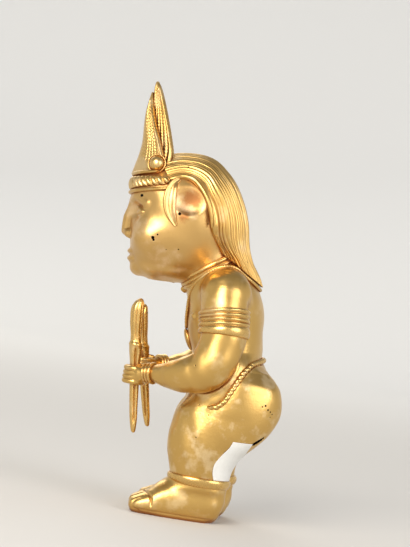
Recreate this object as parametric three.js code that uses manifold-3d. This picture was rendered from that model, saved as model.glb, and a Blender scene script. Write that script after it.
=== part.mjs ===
// A standing cast figurine: a person with long hair and a pointed headdress, who holds two staves.
// It is a hollow metal casting over a clay core, put together from the pieces named at the end.
// Units are millimetres. The figure stands on flat soles at z = 0 and faces -Y; +X is its left side.
// While it is built y = 0 lies at the back of the heels. The last lines centre its box on the origin.
import * as THREE from 'three';
import { mergeVertices } from 'three/addons/utils/BufferGeometryUtils.js';
import Module from 'manifold-3d';

// Casting
const clearance = 0.3; // between neighbouring pieces
const wall = 1.4; // thickness of the cast shells
const pitRadius = 0.45; // casting pits that go through a shell
const pitLength = 24; // of the drill that makes them, half of it outside the shell

// Trunk, in level sections from the groin up to the root of the neck
const trunkRows = [
  { z: 30.5, front: -11.0, back: 3.0, wide: 11.0 },
  { z: 34.0, front: -13.0, back: 5.5, wide: 14.2 },
  { z: 38.0, front: -13.7, back: 7.0, wide: 15.4 },
  { z: 43.0, front: -14.0, back: 6.6, wide: 15.0 },
  { z: 48.0, front: -14.8, back: 5.5, wide: 14.0 },
  { z: 52.0, front: -16.4, back: 5.5, wide: 13.6 },
  { z: 56.0, front: -17.4, back: 4.9, wide: 13.9 },
  { z: 61.0, front: -17.9, back: 4.4, wide: 14.4 },
  { z: 65.5, front: -18.2, back: 3.2, wide: 14.2 },
  { z: 69.0, front: -18.0, back: 1.4, wide: 12.6 },
  { z: 72.5, front: -16.6, back: -1.6, wide: 9.8 },
  { z: 75.5, front: -14.0, back: -4.4, wide: 6.0 },
];
const nipple = { x: 8.6, z: 58.2, radius: 1.0, sunk: 0.9 };

// Neck, which leans forward; the collar sits on its second station. The trunk takes in the neck's
// lower part and the head its upper part, as shares of its length.
const neckOverlap = { trunk: 0.6, head: 0.2 };
const neckRows = [
  { y: -8.5, z: 66.5, wide: 9.4, deep: 9.0 },
  { y: -12.5, z: 72.4, wide: 9.4, deep: 9.6 },
  { y: -17.0, z: 78.5, wide: 10.0, deep: 10.0 },
  { y: -21.0, z: 84.0, wide: 10.5, deep: 10.5 },
];

// Head, in level sections from the underside of the jaw to the crown
const headRows = [
  { z: 66.7, front: -31.0, back: -23.4, wide: 3.6 },
  { z: 68.0, front: -34.0, back: -19.2, wide: 7.0 },
  { z: 71.5, front: -36.6, back: -15.2, wide: 10.4 },
  { z: 77.0, front: -38.0, back: -11.8, wide: 13.2 },
  { z: 83.0, front: -38.8, back: -8.8, wide: 14.4 },
  { z: 88.0, front: -39.5, back: -7.8, wide: 14.6 },
  { z: 93.0, front: -39.9, back: -9.0, wide: 13.9 },
  { z: 97.0, front: -38.9, back: -11.6, wide: 12.0 },
  { z: 100.5, front: -35.4, back: -15.0, wide: 9.0 },
  { z: 102.7, front: -31.5, back: -18.6, wide: 5.4 },
  { z: 103.4, front: -28.0, back: -21.8, wide: 2.4 },
];
// Face on plain proportions: eyes half way up the head, nose and mouth by thirds
const eye = { x: 5.8, y: -36.9, z: 85.2, wide: 2.9, deep: 1.3, high: 1.35 };
const noseRows = [
  { y: -38.4, z: 88.2, wide: 1.5, deep: 1.2 },
  { y: -39.0, z: 83.6, wide: 1.7, deep: 1.5 },
  { y: -39.3, z: 79.4, wide: 2.8, deep: 2.1 },
  { y: -38.4, z: 77.4, wide: 2.4, deep: 1.4 },
];
const upperLip = { y: -36.6, z: 73.6, wide: 4.2, deep: 1.4, high: 0.75 };
const lowerLip = { ...upperLip, z: 72.1, wide: 3.6 };
const chin = { y: -34.0, z: 69.6, wide: 4.4, deep: 2.6, high: 2.4 };
const pits = [{ x: 9.0, y: -36.0, z: 90.0 }, { x: 11.5, y: -32.0, z: 78.4 }];

// Hair, swept round a crosswise axis from the headdress over the crown to its hem on the upper back.
// turn is the angle in degrees from +Y towards +Z, reach the distance from the axis, edge the angle
// at which the hair ends beside the face, in degrees from the middle plane.
const hairAxis = { y: -22.0, z: 84.0 };
const hairRows = [
  { turn: 116, reach: 20.6, wide: 17.0, edge: 52 },
  { turn: 98, reach: 20.9, wide: 17.0, edge: 50 },
  { turn: 78, reach: 21.0, wide: 17.0, edge: 56 },
  { turn: 60, reach: 19.5, wide: 16.9, edge: 62 },
  { turn: 34, reach: 17.9, wide: 16.8, edge: 64 },
  { turn: 10, reach: 17.9, wide: 16.6, edge: 65 },
  { turn: -8, reach: 19.0, wide: 16.2, edge: 64 },
  { turn: -20, reach: 22.0, wide: 15.6, edge: 62 },
  { turn: -27, reach: 26.6, wide: 15.2, edge: 60 },
  { turn: -31, reach: 29.2, wide: 15.0, edge: 58 },
];
const hairRibs = 16;
const hairRibHeight = 0.5;
const hairDepth = 7; // how far in the hair is drawn before the head and neck are cut out of it

// Ears
const earRadius = 1.15;
const earRoute = [
  { y: -25.2, z: 82.6 },
  { y: -26.6, z: 84.6 },
  { y: -27.6, z: 88.0 },
  { y: -28.0, z: 91.6 },
  { y: -26.8, z: 94.6 },
  { y: -23.4, z: 95.9 },
  { y: -20.2, z: 94.2 },
];
const earHole = { y: -24.9, z: 86.7, radius: 0.75 };
const lobe = { wide: 1.3, deep: 1.7, high: 2.0 };

// Bands round the brow, one below the other: how far the middle line of each lies below the crown or
// the band above it, at the front and at the temple
const hemDrop = { front: 7.1, side: 5.7 };
const braidDrop = { front: 2.9, side: 2.1 };
const cordDrop = { front: 2.7, side: 2.0 };
const crown = headRows[headRows.length - 1].z;
const hemLine = { front: crown - hemDrop.front, side: crown - hemDrop.side };
const braidLine = { front: hemLine.front - braidDrop.front, side: hemLine.side - braidDrop.side };
const cordLine = { front: braidLine.front - cordDrop.front, side: braidLine.side - cordDrop.side };
// Half the height of each band's section at the front and the temple, how far it stands out, and the
// angle from the front at which it ends
const hem = { ...hemLine, half: 0.7, halfSide: 0.6, rise: 1.3, end: 52 };
const braid = { ...braidLine, half: 1.85, halfSide: 1.15, rise: 1.0, end: 66 };
const browCord = { ...cordLine, half: 0.5, halfSide: 0.5, rise: 0.8, end: 68 };
const browDroop = 1.5; // how late the bands turn up towards the temples, as a power
const ribSwell = 0.25;

// Headdress leaves, in level rows: front is the middle line, side the edge of the leaf, which
// thins towards its tip
const leafThickness = 1.4;
const leafTip = { share: 0.4, perWide: 1 / 6 };
const leafRidge = 0.35;
const leafInner = 0.96; // the inner face's width as a share of the outer one's
const frontLeafRows = [
  { z: 96.2, front: -40.9, side: -31.2, wide: 10.0 },
  { z: 98.6, front: -40.4, side: -31.5, wide: 9.7 },
  { z: 102.0, front: -39.7, side: -32.3, wide: 8.8 },
  { z: 106.0, front: -39.3, side: -33.9, wide: 7.4 },
  { z: 111.0, front: -39.6, side: -36.1, wide: 5.3 },
  { z: 114.8, front: -39.8, side: -37.6, wide: 3.6 },
  { z: 117.6, front: -39.3, side: -38.3, wide: 2.0 },
  { z: 119.4, front: -38.9, side: -38.6, wide: 0.7 },
];
const rearLeafRows = [
  { z: 97.0, front: -38.2, side: -30.3, wide: 9.0 },
  { z: 103.6, front: -37.6, side: -30.6, wide: 8.2 },
  { z: 108.0, front: -37.6, side: -31.6, wide: 7.0 },
  { z: 114.0, front: -37.8, side: -33.7, wide: 5.1 },
  { z: 119.6, front: -38.0, side: -35.8, wide: 3.1 },
  { z: 122.6, front: -38.2, side: -37.2, wide: 1.6 },
  { z: 124.3, front: -38.2, side: -37.7, wide: 0.6 },
];
const bossOverHem = 2.3;
const boss = { x: 9.6, y: -33.7, z: hem.side + bossOverHem, radius: 2.3, flat: 0.75 };

// Arm, from the shoulder over the elbow to the wrist, on the left side
const armRows = [
  { x: 10.6, y: -7.6, z: 71.6, wide: 3.6, deep: 4.8 },
  { x: 13.4, y: -7.8, z: 68.0, wide: 6.2, deep: 6.9 },
  { x: 16.2, y: -7.8, z: 63.4, wide: 6.3, deep: 6.7 },
  { x: 17.4, y: -7.0, z: 58.0, wide: 5.9, deep: 6.5 },
  { x: 18.2, y: -6.7, z: 52.0, wide: 5.6, deep: 6.5 },
  { x: 18.6, y: -9.4, z: 44.4, wide: 5.4, deep: 6.3 },
  { x: 16.2, y: -15.6, z: 41.4, wide: 4.8, deep: 5.2 },
  { x: 12.9, y: -20.6, z: 40.4, wide: 3.7, deep: 3.7 },
  { x: 10.4, y: -25.0, z: 40.0, wide: 2.5, deep: 2.3 },
  { x: 8.6, y: -28.4, z: 39.4, wide: 2.2, deep: 2.0 },
];
// The right forearm is held a little higher and nearer to the chest, from the elbow on
const elbowRow = 4;
const rightWristShift = { y: 2.8, z: 2.4 };
// Bands, as shares of the arm's stations: where the armband begins and how long it is, how much of
// the arm belongs to the hand, and how far the bracelet reaches to either side of that cut
const armbandPlace = { from: 0.27, long: 0.14 };
const armbandSpan = [armbandPlace.from, armbandPlace.from + armbandPlace.long];
const handShare = 0.06;
const wristCut = 1 - handShare;
const braceletReach = { arm: 0.07, hand: 0.015 };
const braceletSpan = [wristCut - braceletReach.arm, wristCut + braceletReach.hand];
const armbandRise = 1.0;
const armbandRidges = 5;
const braceletRise = 0.9;
const braceletRidges = 3;
const ridgeLow = 0.72; // height of the grooves of a band as a share of its rise
const boreSlack = 0.02; // how much further than a band its bore reaches, as a share of the arm

// Fists and staves
const fingerRadius = 0.72;
const fingerPitch = 1.2;
const fingerDrop = 0.9; // of the middle of the fingers below the wrist
const fingerTurn = { from: 40, to: -216 }; // degrees about the staff, from the palm round the front
const palm = { wide: 2.9, deep: 2.6, high: 2.6, towardsArm: { x: 0.2, y: 0.5, z: -0.7 } };
// The thumb, from the palm over the back of the staff
const thumb = {
  root: { x: 0.6, y: 0.4, z: 1.4 },
  knuckle: { x: 1.6, y: 1.5, z: 2.0 },
  tip: { x: 0.4, y: 2.1, z: 2.2 },
};
const staffFlutes = 5;
const fluteDepth = 0.14;
const staffRows = [
  { y: -27.8, z: 21.8, wide: 0.7, deep: 0.6 },
  { y: -28.2, z: 24.6, wide: 1.1, deep: 1.0 },
  { y: -29.0, z: 30.0, wide: 1.35, deep: 1.25 },
  { y: -29.8, z: 36.2, wide: 1.5, deep: 1.4 },
  { y: -30.6, z: 42.0, wide: 1.6, deep: 1.5 },
  { y: -31.1, z: 46.5, wide: 1.9, deep: 1.9 },
  { y: -31.5, z: 49.4, wide: 1.6, deep: 1.6 },
  { y: -32.1, z: 54.0, wide: 2.0, deep: 1.9 },
  { y: -32.3, z: 58.6, wide: 1.9, deep: 1.7 },
  { y: -31.8, z: 60.8, wide: 1.1, deep: 0.9 },
];
const staffX = 6.4;
// The right staff is shorter, stands nearer to the chest and leans more
const rightStaff = { middle: 40.0, length: 0.92, lean: 0.075, top: 60.0, nearer: 0.8 };

// Lower body: the hips in level sections, and the left leg in level sections about its own middle
const hipRows = [
  { z: 25.0, front: -6.0, back: 3.0, wide: 5.0 },
  { z: 27.5, front: -11.0, back: 8.0, wide: 11.0 },
  { z: 31.0, front: -13.5, back: 10.8, wide: 16.0 },
  { z: 35.0, front: -14.0, back: 11.6, wide: 17.4 },
  { z: 39.0, front: -12.4, back: 11.4, wide: 17.6 },
  { z: 42.5, front: -10.4, back: 10.2, wide: 16.9 },
  { z: 45.5, front: -9.0, back: 7.8, wide: 15.7 },
  { z: 48.5, front: -8.0, back: 5.4, wide: 13.9 },
  { z: 50.5, front: -7.0, back: 4.0, wide: 11.5 },
];
const legX = 9.4;
const legRows = [
  { z: 9.6, front: -14.4, back: 1.4, wide: 6.2 },
  { z: 12.0, front: -15.2, back: 1.7, wide: 6.7 },
  { z: 16.0, front: -16.3, back: 2.3, wide: 7.5 },
  { z: 20.0, front: -17.3, back: 4.4, wide: 8.2 },
  { z: 24.0, front: -17.6, back: 8.2, wide: 8.7 },
  { z: 28.0, front: -17.0, back: 11.4, wide: 8.9 },
  { z: 32.0, front: -15.4, back: 13.1, wide: 8.8 },
  { z: 36.0, front: -11.4, back: 13.6, wide: 8.4 },
  { z: 40.0, front: -6.6, back: 12.8, wide: 7.4 },
  { z: 43.5, front: -2.0, back: 10.5, wide: 5.6 },
  { z: 45.0, front: 1.0, back: 8.4, wide: 3.0 },
];
// The right foot stands a little further back, and its shin leans to it from the knee
const rightFootBack = 2.2;
const kneeZ = 26;
// The line where trunk and legs meet, seen from the side, from the back of the waist to the groin
const beltLine = [
  { y: 24.0, z: 49.6 },
  { y: 7.2, z: 48.6 },
  { y: 4.0, z: 47.2 },
  { y: 1.8, z: 44.8 },
  { y: -1.1, z: 39.7 },
  { y: -3.3, z: 35.8 },
  { y: -5.4, z: 34.0 },
  { y: -9.0, z: 33.0 },
  { y: -30.0, z: 32.6 },
];
const beltRadius = 0.8;
const beltTwists = 30;
const beltTwistDepth = 0.16;
// The level oval from which the belt's points are drawn in to the body: its half depth, and how far
// it stands outside the hips at their widest
const beltOval = { y: -3.5, deep: 10.6, points: 24 };
const beltOvalWide = 1.25 * Math.max(...hipRows.map((r) => r.wide));
// A slit through the wall at the back of the left thigh
const slot = { y: 8.4, z: 25.6, from: -2.4, to: 21.6, long: 3.0, high: 0.8, tilt: 0.7 };

// Feet, from the heel to the toes; they are cut flat at z = 0
const ankleZ = 11.4;
const footRows = [
  { y: 1.0, z: 5.2, wide: 3.4, deep: 3.8 },
  { y: -1.0, z: 5.6, wide: 5.2, deep: 6.2 },
  { y: -6.0, z: 5.4, wide: 5.9, deep: 7.2 },
  { y: -11.0, z: 4.8, wide: 6.2, deep: 7.2 },
  { y: -15.4, z: 4.0, wide: 6.4, deep: 6.3 },
  { y: -19.4, z: 3.0, wide: 6.5, deep: 4.4 },
  { y: -22.8, z: 2.4, wide: 6.2, deep: 3.2 },
  { y: -24.8, z: 2.2, wide: 5.2, deep: 2.4 },
  { y: -25.6, z: 2.1, wide: 3.6, deep: 1.4 },
];
const anklet = { top: 12.9, bottom: 10.2, rise: 0.9 };

// Cords and small pieces on the chest
const collarHalf = 2.0;
const collarRise = 0.9;
const collarRidges = 3;
const cordRadius = 0.6;
const cordLift = 0.15; // a cord bridges the low spots of what it lies on
// The necklace is drawn in to the body towards the chest's middle line, up to the height of its top
const chestMiddle = { y: -8, top: 66 };
const pendant = { z: 50.6, wide: 2.6, thick: 1.0, high: 3.4 };
const pendantHang = 0.4; // between the pendant's top and the middle of the cord
// Half of the necklace, on the left side, from above the pendant over the shoulder to the back
const necklaceRoute = [
  { x: 0.0, y: -18.6, z: pendant.z + pendant.high + pendantHang },
  { x: 2.6, y: -19.0, z: 58.4 },
  { x: 4.6, y: -19.0, z: 62.6 },
  { x: 7.4, y: -17.8, z: 66.6 },
  { x: 10.4, y: -15.4, z: 70.4 },
  { x: 11.8, y: -12.0, z: 73.4 },
  { x: 11.8, y: -7.6, z: 74.6 },
  { x: 10.6, y: -3.2, z: 73.0 },
  { x: 8.4, y: 0.4, z: 70.4 },
  { x: 4.8, y: 3.0, z: 68.4 },
  { x: 0.0, y: 4.2, z: 67.8 },
];
const throatKnot = { y: -19.8, z: 65.6, radius: 1.2 };
const label = { bottom: 12.9, top: 24.8, from: 24, to: 112, thick: 0.3 };

// How finely the rounded forms are faceted: sides of a section, and sections along a form
const facets = { body: 20, limb: 14, hollow: 12, band: 6, cord: 5 };
const sections = { trunk: 10, head: 11, hips: 8, leg: 10, foot: 11, staff: 13 };
const beyond = rearLeafRows[rearLeafRows.length - 1].z / 2; // a length outside the figure, for cutting blocks

const wasm = await Module();
wasm.setup();

const crosswise = new THREE.Vector3(1, 0, 0);
const upwards = new THREE.Vector3(0, 0, 1);

// A closed three.js geometry as a solid that can be joined and cut.
function solid(geometry) {
  const plain = geometry.clone();
  plain.deleteAttribute('normal');
  plain.deleteAttribute('uv');
  const merged = mergeVertices(plain, 1e-4);
  return new wasm.Manifold(
    new wasm.Mesh({
      numProp: 3,
      vertProperties: merged.attributes.position.array,
      triVerts: new Uint32Array(merged.index.array),
    }),
  );
}

// The other way round: a solid as a three.js geometry.
function geometryOf(body) {
  const mesh = body.getMesh();
  const stride = mesh.numProp;
  const points = new Float32Array(mesh.numVert * 3);
  for (let i = 0; i < mesh.numVert; i++) {
    points.set(mesh.vertProperties.subarray(i * stride, i * stride + 3), i * 3);
  }
  const geometry = new THREE.BufferGeometry();
  geometry.setAttribute('position', new THREE.BufferAttribute(points, 3));
  geometry.setIndex(new THREE.BufferAttribute(new Uint32Array(mesh.triVerts), 1));
  geometry.computeVertexNormals();
  return geometry;
}

// Mirrors a solid left to right.
function mirrored(body) {
  const geometry = geometryOf(body);
  geometry.scale(-1, 1, 1);
  const index = geometry.index.array;
  for (let i = 0; i < index.length; i += 3) {
    [index[i + 1], index[i + 2]] = [index[i + 2], index[i + 1]];
  }
  return solid(geometry);
}

// The triangles that close a flat ring of points, in the ring's own order.
function capOf(ring) {
  const normal = new THREE.Vector3();
  ring.forEach((p, k) => {
    const q = ring[(k + 1) % ring.length];
    normal.x += (p.y - q.y) * (p.z + q.z);
    normal.y += (p.z - q.z) * (p.x + q.x);
    normal.z += (p.x - q.x) * (p.y + q.y);
  });
  normal.normalize();
  const side = ring[1].clone().sub(ring[0]).normalize();
  const other = normal.clone().cross(side);
  const flat = ring.map((p) => new THREE.Vector2(p.dot(side), p.dot(other)));
  return THREE.ShapeUtils.triangulateShape(flat, []);
}

// Skins a row of rings, each counter-clockwise about the way forward, into one closed solid.
function skin(rings, joined = false) {
  const sides = rings[0].length;
  const points = rings.flat();
  const index = [];
  const spans = joined ? rings.length : rings.length - 1;
  for (let i = 0; i < spans; i++) {
    const here = i * sides;
    const next = ((i + 1) % rings.length) * sides;
    for (let k = 0; k < sides; k++) {
      const l = (k + 1) % sides;
      index.push(here + k, here + l, next + l, here + k, next + l, next + k);
    }
  }
  if (!joined) {
    const last = (rings.length - 1) * sides;
    capOf(rings[0]).forEach(([a, b, c]) => index.push(a, c, b));
    capOf(rings[rings.length - 1]).forEach(([a, b, c]) => index.push(last + a, last + b, last + c));
  }
  const geometry = new THREE.BufferGeometry().setFromPoints(points);
  geometry.setIndex(index);
  return solid(geometry);
}

// A rounded form: oval sections along a middle line, level or square to that line.
class Form {
  constructor(rows, { level = false, power = 2 } = {}) {
    this.level = level;
    this.power = power;
    this.middle = new THREE.CatmullRomCurve3(
      rows.map((r) => new THREE.Vector3(r.x ?? 0, r.y ?? (r.front + r.back) / 2, r.z)),
    );
    this.halves = new THREE.CatmullRomCurve3(
      rows.map((r) => new THREE.Vector3(r.wide, r.deep ?? (r.back - r.front) / 2, 0)),
    );
    this.rows = rows;
  }

  // Where the level z lies along the rows, as a share from 0 to 1.
  shareAt(z) {
    const last = this.rows.length - 1;
    const i = this.rows.findIndex((r, k) => k < last && z <= this.rows[k + 1].z);
    const low = this.rows[i];
    return (i + (z - low.z) / (this.rows[i + 1].z - low.z)) / last;
  }

  frame(share) {
    const forward = this.level ? upwards.clone() : this.middle.getTangent(share);
    const across = crosswise.clone().addScaledVector(forward, -forward.x).normalize();
    return { forward, across, out: forward.clone().cross(across) };
  }

  // The point of the surface at an angle about the middle line, grown outwards by some millimetres.
  point(share, angle, grow = 0, shift = 0) {
    const { forward, across, out } = this.frame(share);
    const half = this.halves.getPoint(share);
    const round = (v) => Math.sign(v) * Math.abs(v) ** (2 / this.power);
    return this.middle
      .getPoint(share)
      .addScaledVector(forward, shift)
      .addScaledVector(across, (half.x + grow) * round(Math.cos(angle)))
      .addScaledVector(out, (half.y + grow) * round(Math.sin(angle)));
  }

  // A solid piece of the form. grow is a number or a function of share and angle, and past is how
  // far the two ends are drawn out along the middle line.
  solid({ from = 0, to = 1, rings = 12, sides = 20, grow = 0, past = 0 } = {}) {
    const list = [];
    for (let i = 0; i <= rings; i++) {
      const share = from + ((to - from) * i) / rings;
      const shift = past * ((2 * i) / rings - 1);
      const ring = [];
      for (let k = 0; k < sides; k++) {
        const angle = (2 * Math.PI * k) / sides;
        const more = typeof grow === 'function' ? grow(share, angle) : grow;
        ring.push(this.point(share, angle, more, shift));
      }
      list.push(ring);
    }
    return skin(list);
  }
}

// A round cord along a route of points, plain or twisted from two strands.
function cord(route, radius, { joined = false, steps = 40, sides = 8, twists = 0 } = {}) {
  const curve = new THREE.CatmullRomCurve3(route, joined);
  const frames = curve.computeFrenetFrames(steps, joined);
  const rings = [];
  const count = joined ? steps : steps + 1;
  for (let i = 0; i < count; i++) {
    const centre = curve.getPointAt(i / steps);
    const ring = [];
    for (let k = 0; k < sides; k++) {
      const angle = (2 * Math.PI * k) / sides;
      const lay = Math.PI * 2 * twists * (i / steps);
      const r = radius * (twists ? 1 + beltTwistDepth * Math.cos(2 * (angle - lay)) : 1);
      ring.push(
        centre
          .clone()
          .addScaledVector(frames.normals[i], r * Math.cos(angle))
          .addScaledVector(frames.binormals[i], r * Math.sin(angle)),
      );
    }
    rings.push(ring);
  }
  return skin(rings, joined);
}

// A ball or egg, with its half sizes.
function egg(x, y, z, wide, deep, high, sides = 10) {
  const geometry = new THREE.SphereGeometry(1, sides, Math.round(sides * 0.6));
  geometry.rotateX(Math.PI / 2);
  geometry.scale(wide, deep, high);
  geometry.translate(x, y, z);
  return solid(geometry);
}

// A block that reaches across the whole figure, drawn from the side as a list of y and z.
function sideBlock(outline, from = -beyond, to = beyond) {
  const shape = new THREE.Shape(outline.map((p) => new THREE.Vector2(p.y, p.z)));
  const geometry = new THREE.ExtrudeGeometry(shape, { depth: to - from, bevelEnabled: false });
  geometry.translate(0, 0, from);
  geometry.rotateX(Math.PI / 2);
  geometry.rotateZ(Math.PI / 2);
  return solid(geometry);
}

// A block across the whole figure between two levels.
function levelBlock(low, high) {
  return sideBlock([
    { y: -beyond, z: low },
    { y: beyond, z: low },
    { y: beyond, z: high },
    { y: -beyond, z: high },
  ]);
}

// Moves a route outwards or inwards until it lies on a solid, at a height above its surface.
function drape(route, body, height, towards) {
  const mesh = new THREE.Mesh(geometryOf(body));
  mesh.material.side = THREE.DoubleSide;
  const ray = new THREE.Raycaster();
  return route.map((p) => {
    const start = new THREE.Vector3(p.x, p.y, p.z);
    const aim = towards(start);
    const way = aim.clone().sub(start).normalize();
    ray.set(start.clone().addScaledVector(way, -beyond / 8), way);
    const hit = ray.intersectObject(mesh)[0];
    return hit ? hit.point.addScaledVector(way, -height) : start;
  });
}

const left = { name: 'left', x: 1 };
const right = { name: 'right', x: -1 };
const forSide = (side, body) => (side === left ? body : mirrored(body));

// Forms of the body
const trunk = new Form(trunkRows, { level: true, power: 2.3 });
const neck = new Form(neckRows);
const head = new Form(headRows, { level: true, power: 2.2 });
const hips = new Form(hipRows, { level: true });
const leftArm = new Form(armRows);
const rightArm = new Form(
  armRows.map((r, i) => {
    const share = Math.max(0, (i - elbowRow) / (armRows.length - 1 - elbowRow));
    return { ...r, y: r.y + rightWristShift.y * share, z: r.z + rightWristShift.z * share };
  }),
);
// A leg and its foot, with the foot set back by some millimetres; like every right-hand piece the
// right one is built on the left and mirrored
function legForms(back) {
  const shin = legRows.map((r) => {
    const shift = back * THREE.MathUtils.clamp((kneeZ - r.z) / (kneeZ - ankleZ), 0, 1);
    return { ...r, x: legX, front: r.front + shift, back: r.back + shift };
  });
  return {
    leg: new Form(shin, { level: true, power: 2.1 }),
    foot: new Form(footRows.map((r) => ({ ...r, x: legX, y: r.y + back })), { power: 2.3 }),
  };
}
const leftForms = legForms(0);
const rightForms = legForms(rightFootBack);

// Cuts: the collar plane and the belt line, each moved by half a clearance for its two sides
const collarShare = 1 / (neckRows.length - 1);
function collarBlock(shift) {
  const { forward, out } = neck.frame(collarShare);
  const centre = neck.middle.getPoint(collarShare).addScaledVector(forward, shift);
  const near = centre.clone().addScaledVector(out, -beyond);
  const far = centre.clone().addScaledVector(out, beyond);
  const farUp = far.clone().addScaledVector(forward, beyond);
  const nearUp = near.clone().addScaledVector(forward, beyond);
  return sideBlock([near, far, farUp, nearUp]);
}
function beltBlock(shift) {
  const aslant = shift * Math.SQRT1_2;
  const low = beltLine.map((p) => ({ y: p.y - aslant, z: p.z + aslant }));
  const top = 2 * beyond;
  return sideBlock([{ y: low[low.length - 1].y, z: top }, { y: low[0].y, z: top }, ...low]);
}
const upperSide = collarBlock(clearance / 2);
const collarSide = collarBlock(-clearance / 2);
const trunkSide = beltBlock(clearance / 2);
const belowBelt = beltBlock(-clearance / 2);

// Shells
const armMiddle = (armbandSpan[0] + armbandSpan[1]) / 2;
const halfGap = clearance / 2 / leftArm.middle.getLength();
function shoulder(grow) {
  const one = leftArm.solid({ to: armMiddle - halfGap, rings: 6, sides: facets.limb, grow });
  return one.add(mirrored(one));
}
function trunkSolid(grow) {
  return trunk.solid({ rings: sections.trunk, sides: facets.body, grow }).add(
    neck.solid({ to: neckOverlap.trunk, rings: 2, sides: facets.limb, grow }),
  );
}
function headSolid(grow) {
  return head.solid({ rings: sections.head, sides: facets.body, grow }).add(
    neck.solid({ from: neckOverlap.head, rings: 3, sides: facets.limb, grow }),
  );
}
// The hollows and the cores in them are plainer than the outer skin.
function trunkHollow(grow) {
  return trunk.solid({ rings: 6, sides: facets.hollow, grow }).add(
    neck.solid({ to: neckOverlap.trunk, rings: 2, sides: facets.hollow, grow }),
  );
}
function bodyHollow(grow) {
  const legHollow = (forms) => forms.leg.solid({ rings: 6, sides: facets.hollow, grow });
  return trunkHollow(grow)
    .add(hips.solid({ rings: 5, sides: facets.hollow, grow, past: grow }))
    .add(legHollow(leftForms))
    .add(mirrored(legHollow(rightForms)));
}
function headHollow(grow) {
  return head.solid({ rings: 7, sides: facets.hollow, grow, past: grow }).add(
    neck.solid({ from: neckOverlap.head, rings: 2, sides: facets.hollow, grow, past: grow }),
  );
}
function face() {
  let body = new Form(noseRows).solid({ rings: 6, sides: 10 });
  for (const side of [left, right]) {
    body = body.add(egg(side.x * eye.x, eye.y, eye.z, eye.wide, eye.deep, eye.high, 10));
  }
  for (const form of [upperLip, lowerLip, chin]) {
    body = body.add(egg(0, form.y, form.z, form.wide, form.deep, form.high, 10));
  }
  return body;
}
const headOuter = headSolid(0);
const headShell = headOuter
  .add(face())
  .intersect(upperSide)
  .subtract(headHollow(-wall));
const legSolid = (forms, grow) => (
  forms.leg.solid({ rings: sections.leg, sides: facets.limb, grow })
);
const bodySolid = (grow) => trunkSolid(grow)
  .add(hips.solid({ rings: sections.hips, sides: facets.body, grow }))
  .add(legSolid(leftForms, grow))
  .add(mirrored(legSolid(rightForms, grow)));
const bodyOuter = bodySolid(0);
const bodyNear = bodySolid(clearance);
const torsoOuter = bodyOuter.add(shoulder(0));
function nipples() {
  const y = trunk.point(trunk.shareAt(nipple.z), -Math.PI / 2).y + nipple.sunk;
  const one = egg(nipple.x, y, nipple.z, nipple.radius, nipple.radius, nipple.radius, 8);
  return one.add(mirrored(one));
}
const torsoShell = torsoOuter
  .add(nipples())
  .subtract(collarSide)
  .intersect(trunkSide)
  .subtract(bodyHollow(-wall));
const aboveAnkle = levelBlock(ankleZ + clearance / 2, 2 * beyond);
// The left leg's side of the gap between the legs, in the middle plane
const leftHalf = levelBlock(0, beyond).trimByPlane([1, 0, 0], clearance / 2);
function slotCutter() {
  const geometry = new THREE.BoxGeometry(slot.to - slot.from, slot.long, slot.high);
  geometry.rotateX(slot.tilt);
  geometry.translate((slot.from + slot.to) / 2, slot.y, slot.z);
  return solid(geometry);
}
const legShells = bodyOuter
  .intersect(aboveAnkle)
  .subtract(belowBelt)
  .subtract(bodyHollow(-wall))
  .subtract(slotCutter());

// The largest body of a solid: thin cuts can leave specks of a few thousandths of a cubic millimetre.
function largest(body) {
  const bodies = body.decompose();
  return bodies.reduce((best, one) => (one.volume() > best.volume() ? one : best));
}

const pieces = [];
function piece(name, body, material) {
  pieces.push({ name, body: largest(body), material });
  return body;
}

const gold = new THREE.MeshStandardMaterial({ color: '#c8a24c', roughness: 0.32, metalness: 1 });
const paleGold = new THREE.MeshStandardMaterial({ color: '#d8b768', roughness: 0.28, metalness: 1 });
const clay = new THREE.MeshStandardMaterial({ color: '#2a241f', roughness: 0.95, metalness: 0 });
const paper = new THREE.MeshStandardMaterial({ color: '#f1f1ee', roughness: 0.85, metalness: 0 });

// Head and neck, cut to the collar plane; each pit is drilled towards the head's middle
const headMiddleY = (head.rows[5].front + head.rows[5].back) / 2;
function pit({ x, y, z }) {
  const geometry = new THREE.CylinderGeometry(pitRadius, pitRadius, pitLength, 8);
  geometry.rotateX(Math.PI / 2);
  geometry.rotateZ(Math.atan2(x, headMiddleY - y));
  geometry.translate(x, y, z);
  return solid(geometry);
}
const headNear = headSolid(clearance);
const trunkNear = trunkSolid(clearance).add(shoulder(clearance));
piece('head_shell', pits.reduce((shell, p) => shell.subtract(pit(p)), headShell), gold);
piece('torso_shell', torsoShell, gold);

// Hair
const hairWide = new THREE.CatmullRomCurve3(
  hairRows.map((r) => new THREE.Vector3(r.reach, r.wide, r.edge)),
);
const hairTurn = new THREE.CatmullRomCurve3(
  hairRows.map((r) => new THREE.Vector3(r.turn, 0, 0)),
);
function hairPoint(share, across, depth) {
  const { x: reach, y: wide, z: edge } = hairWide.getPoint(share);
  const turn = THREE.MathUtils.degToRad(hairTurn.getPoint(share).x);
  const angle = THREE.MathUtils.degToRad(edge) * across;
  const r = (reach - depth) * Math.cos(angle);
  return new THREE.Vector3(
    (wide - depth) * Math.sin(angle),
    hairAxis.y + r * Math.cos(turn),
    hairAxis.z + r * Math.sin(turn),
  );
}
function hairSolid() {
  const rings = [];
  const rows = 12;
  const outer = hairRibs * 2;
  const inner = 6;
  for (let i = 0; i <= rows; i++) {
    const ring = [];
    for (let k = 0; k <= outer; k++) {
      ring.push(hairPoint(i / rows, (2 * k) / outer - 1, k % 2 ? 0 : hairRibHeight));
    }
    for (let k = 0; k <= inner; k++) {
      ring.push(hairPoint(i / rows, 1 - (2 * k) / inner, hairDepth));
    }
    rings.push(ring);
  }
  return skin(rings);
}
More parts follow.
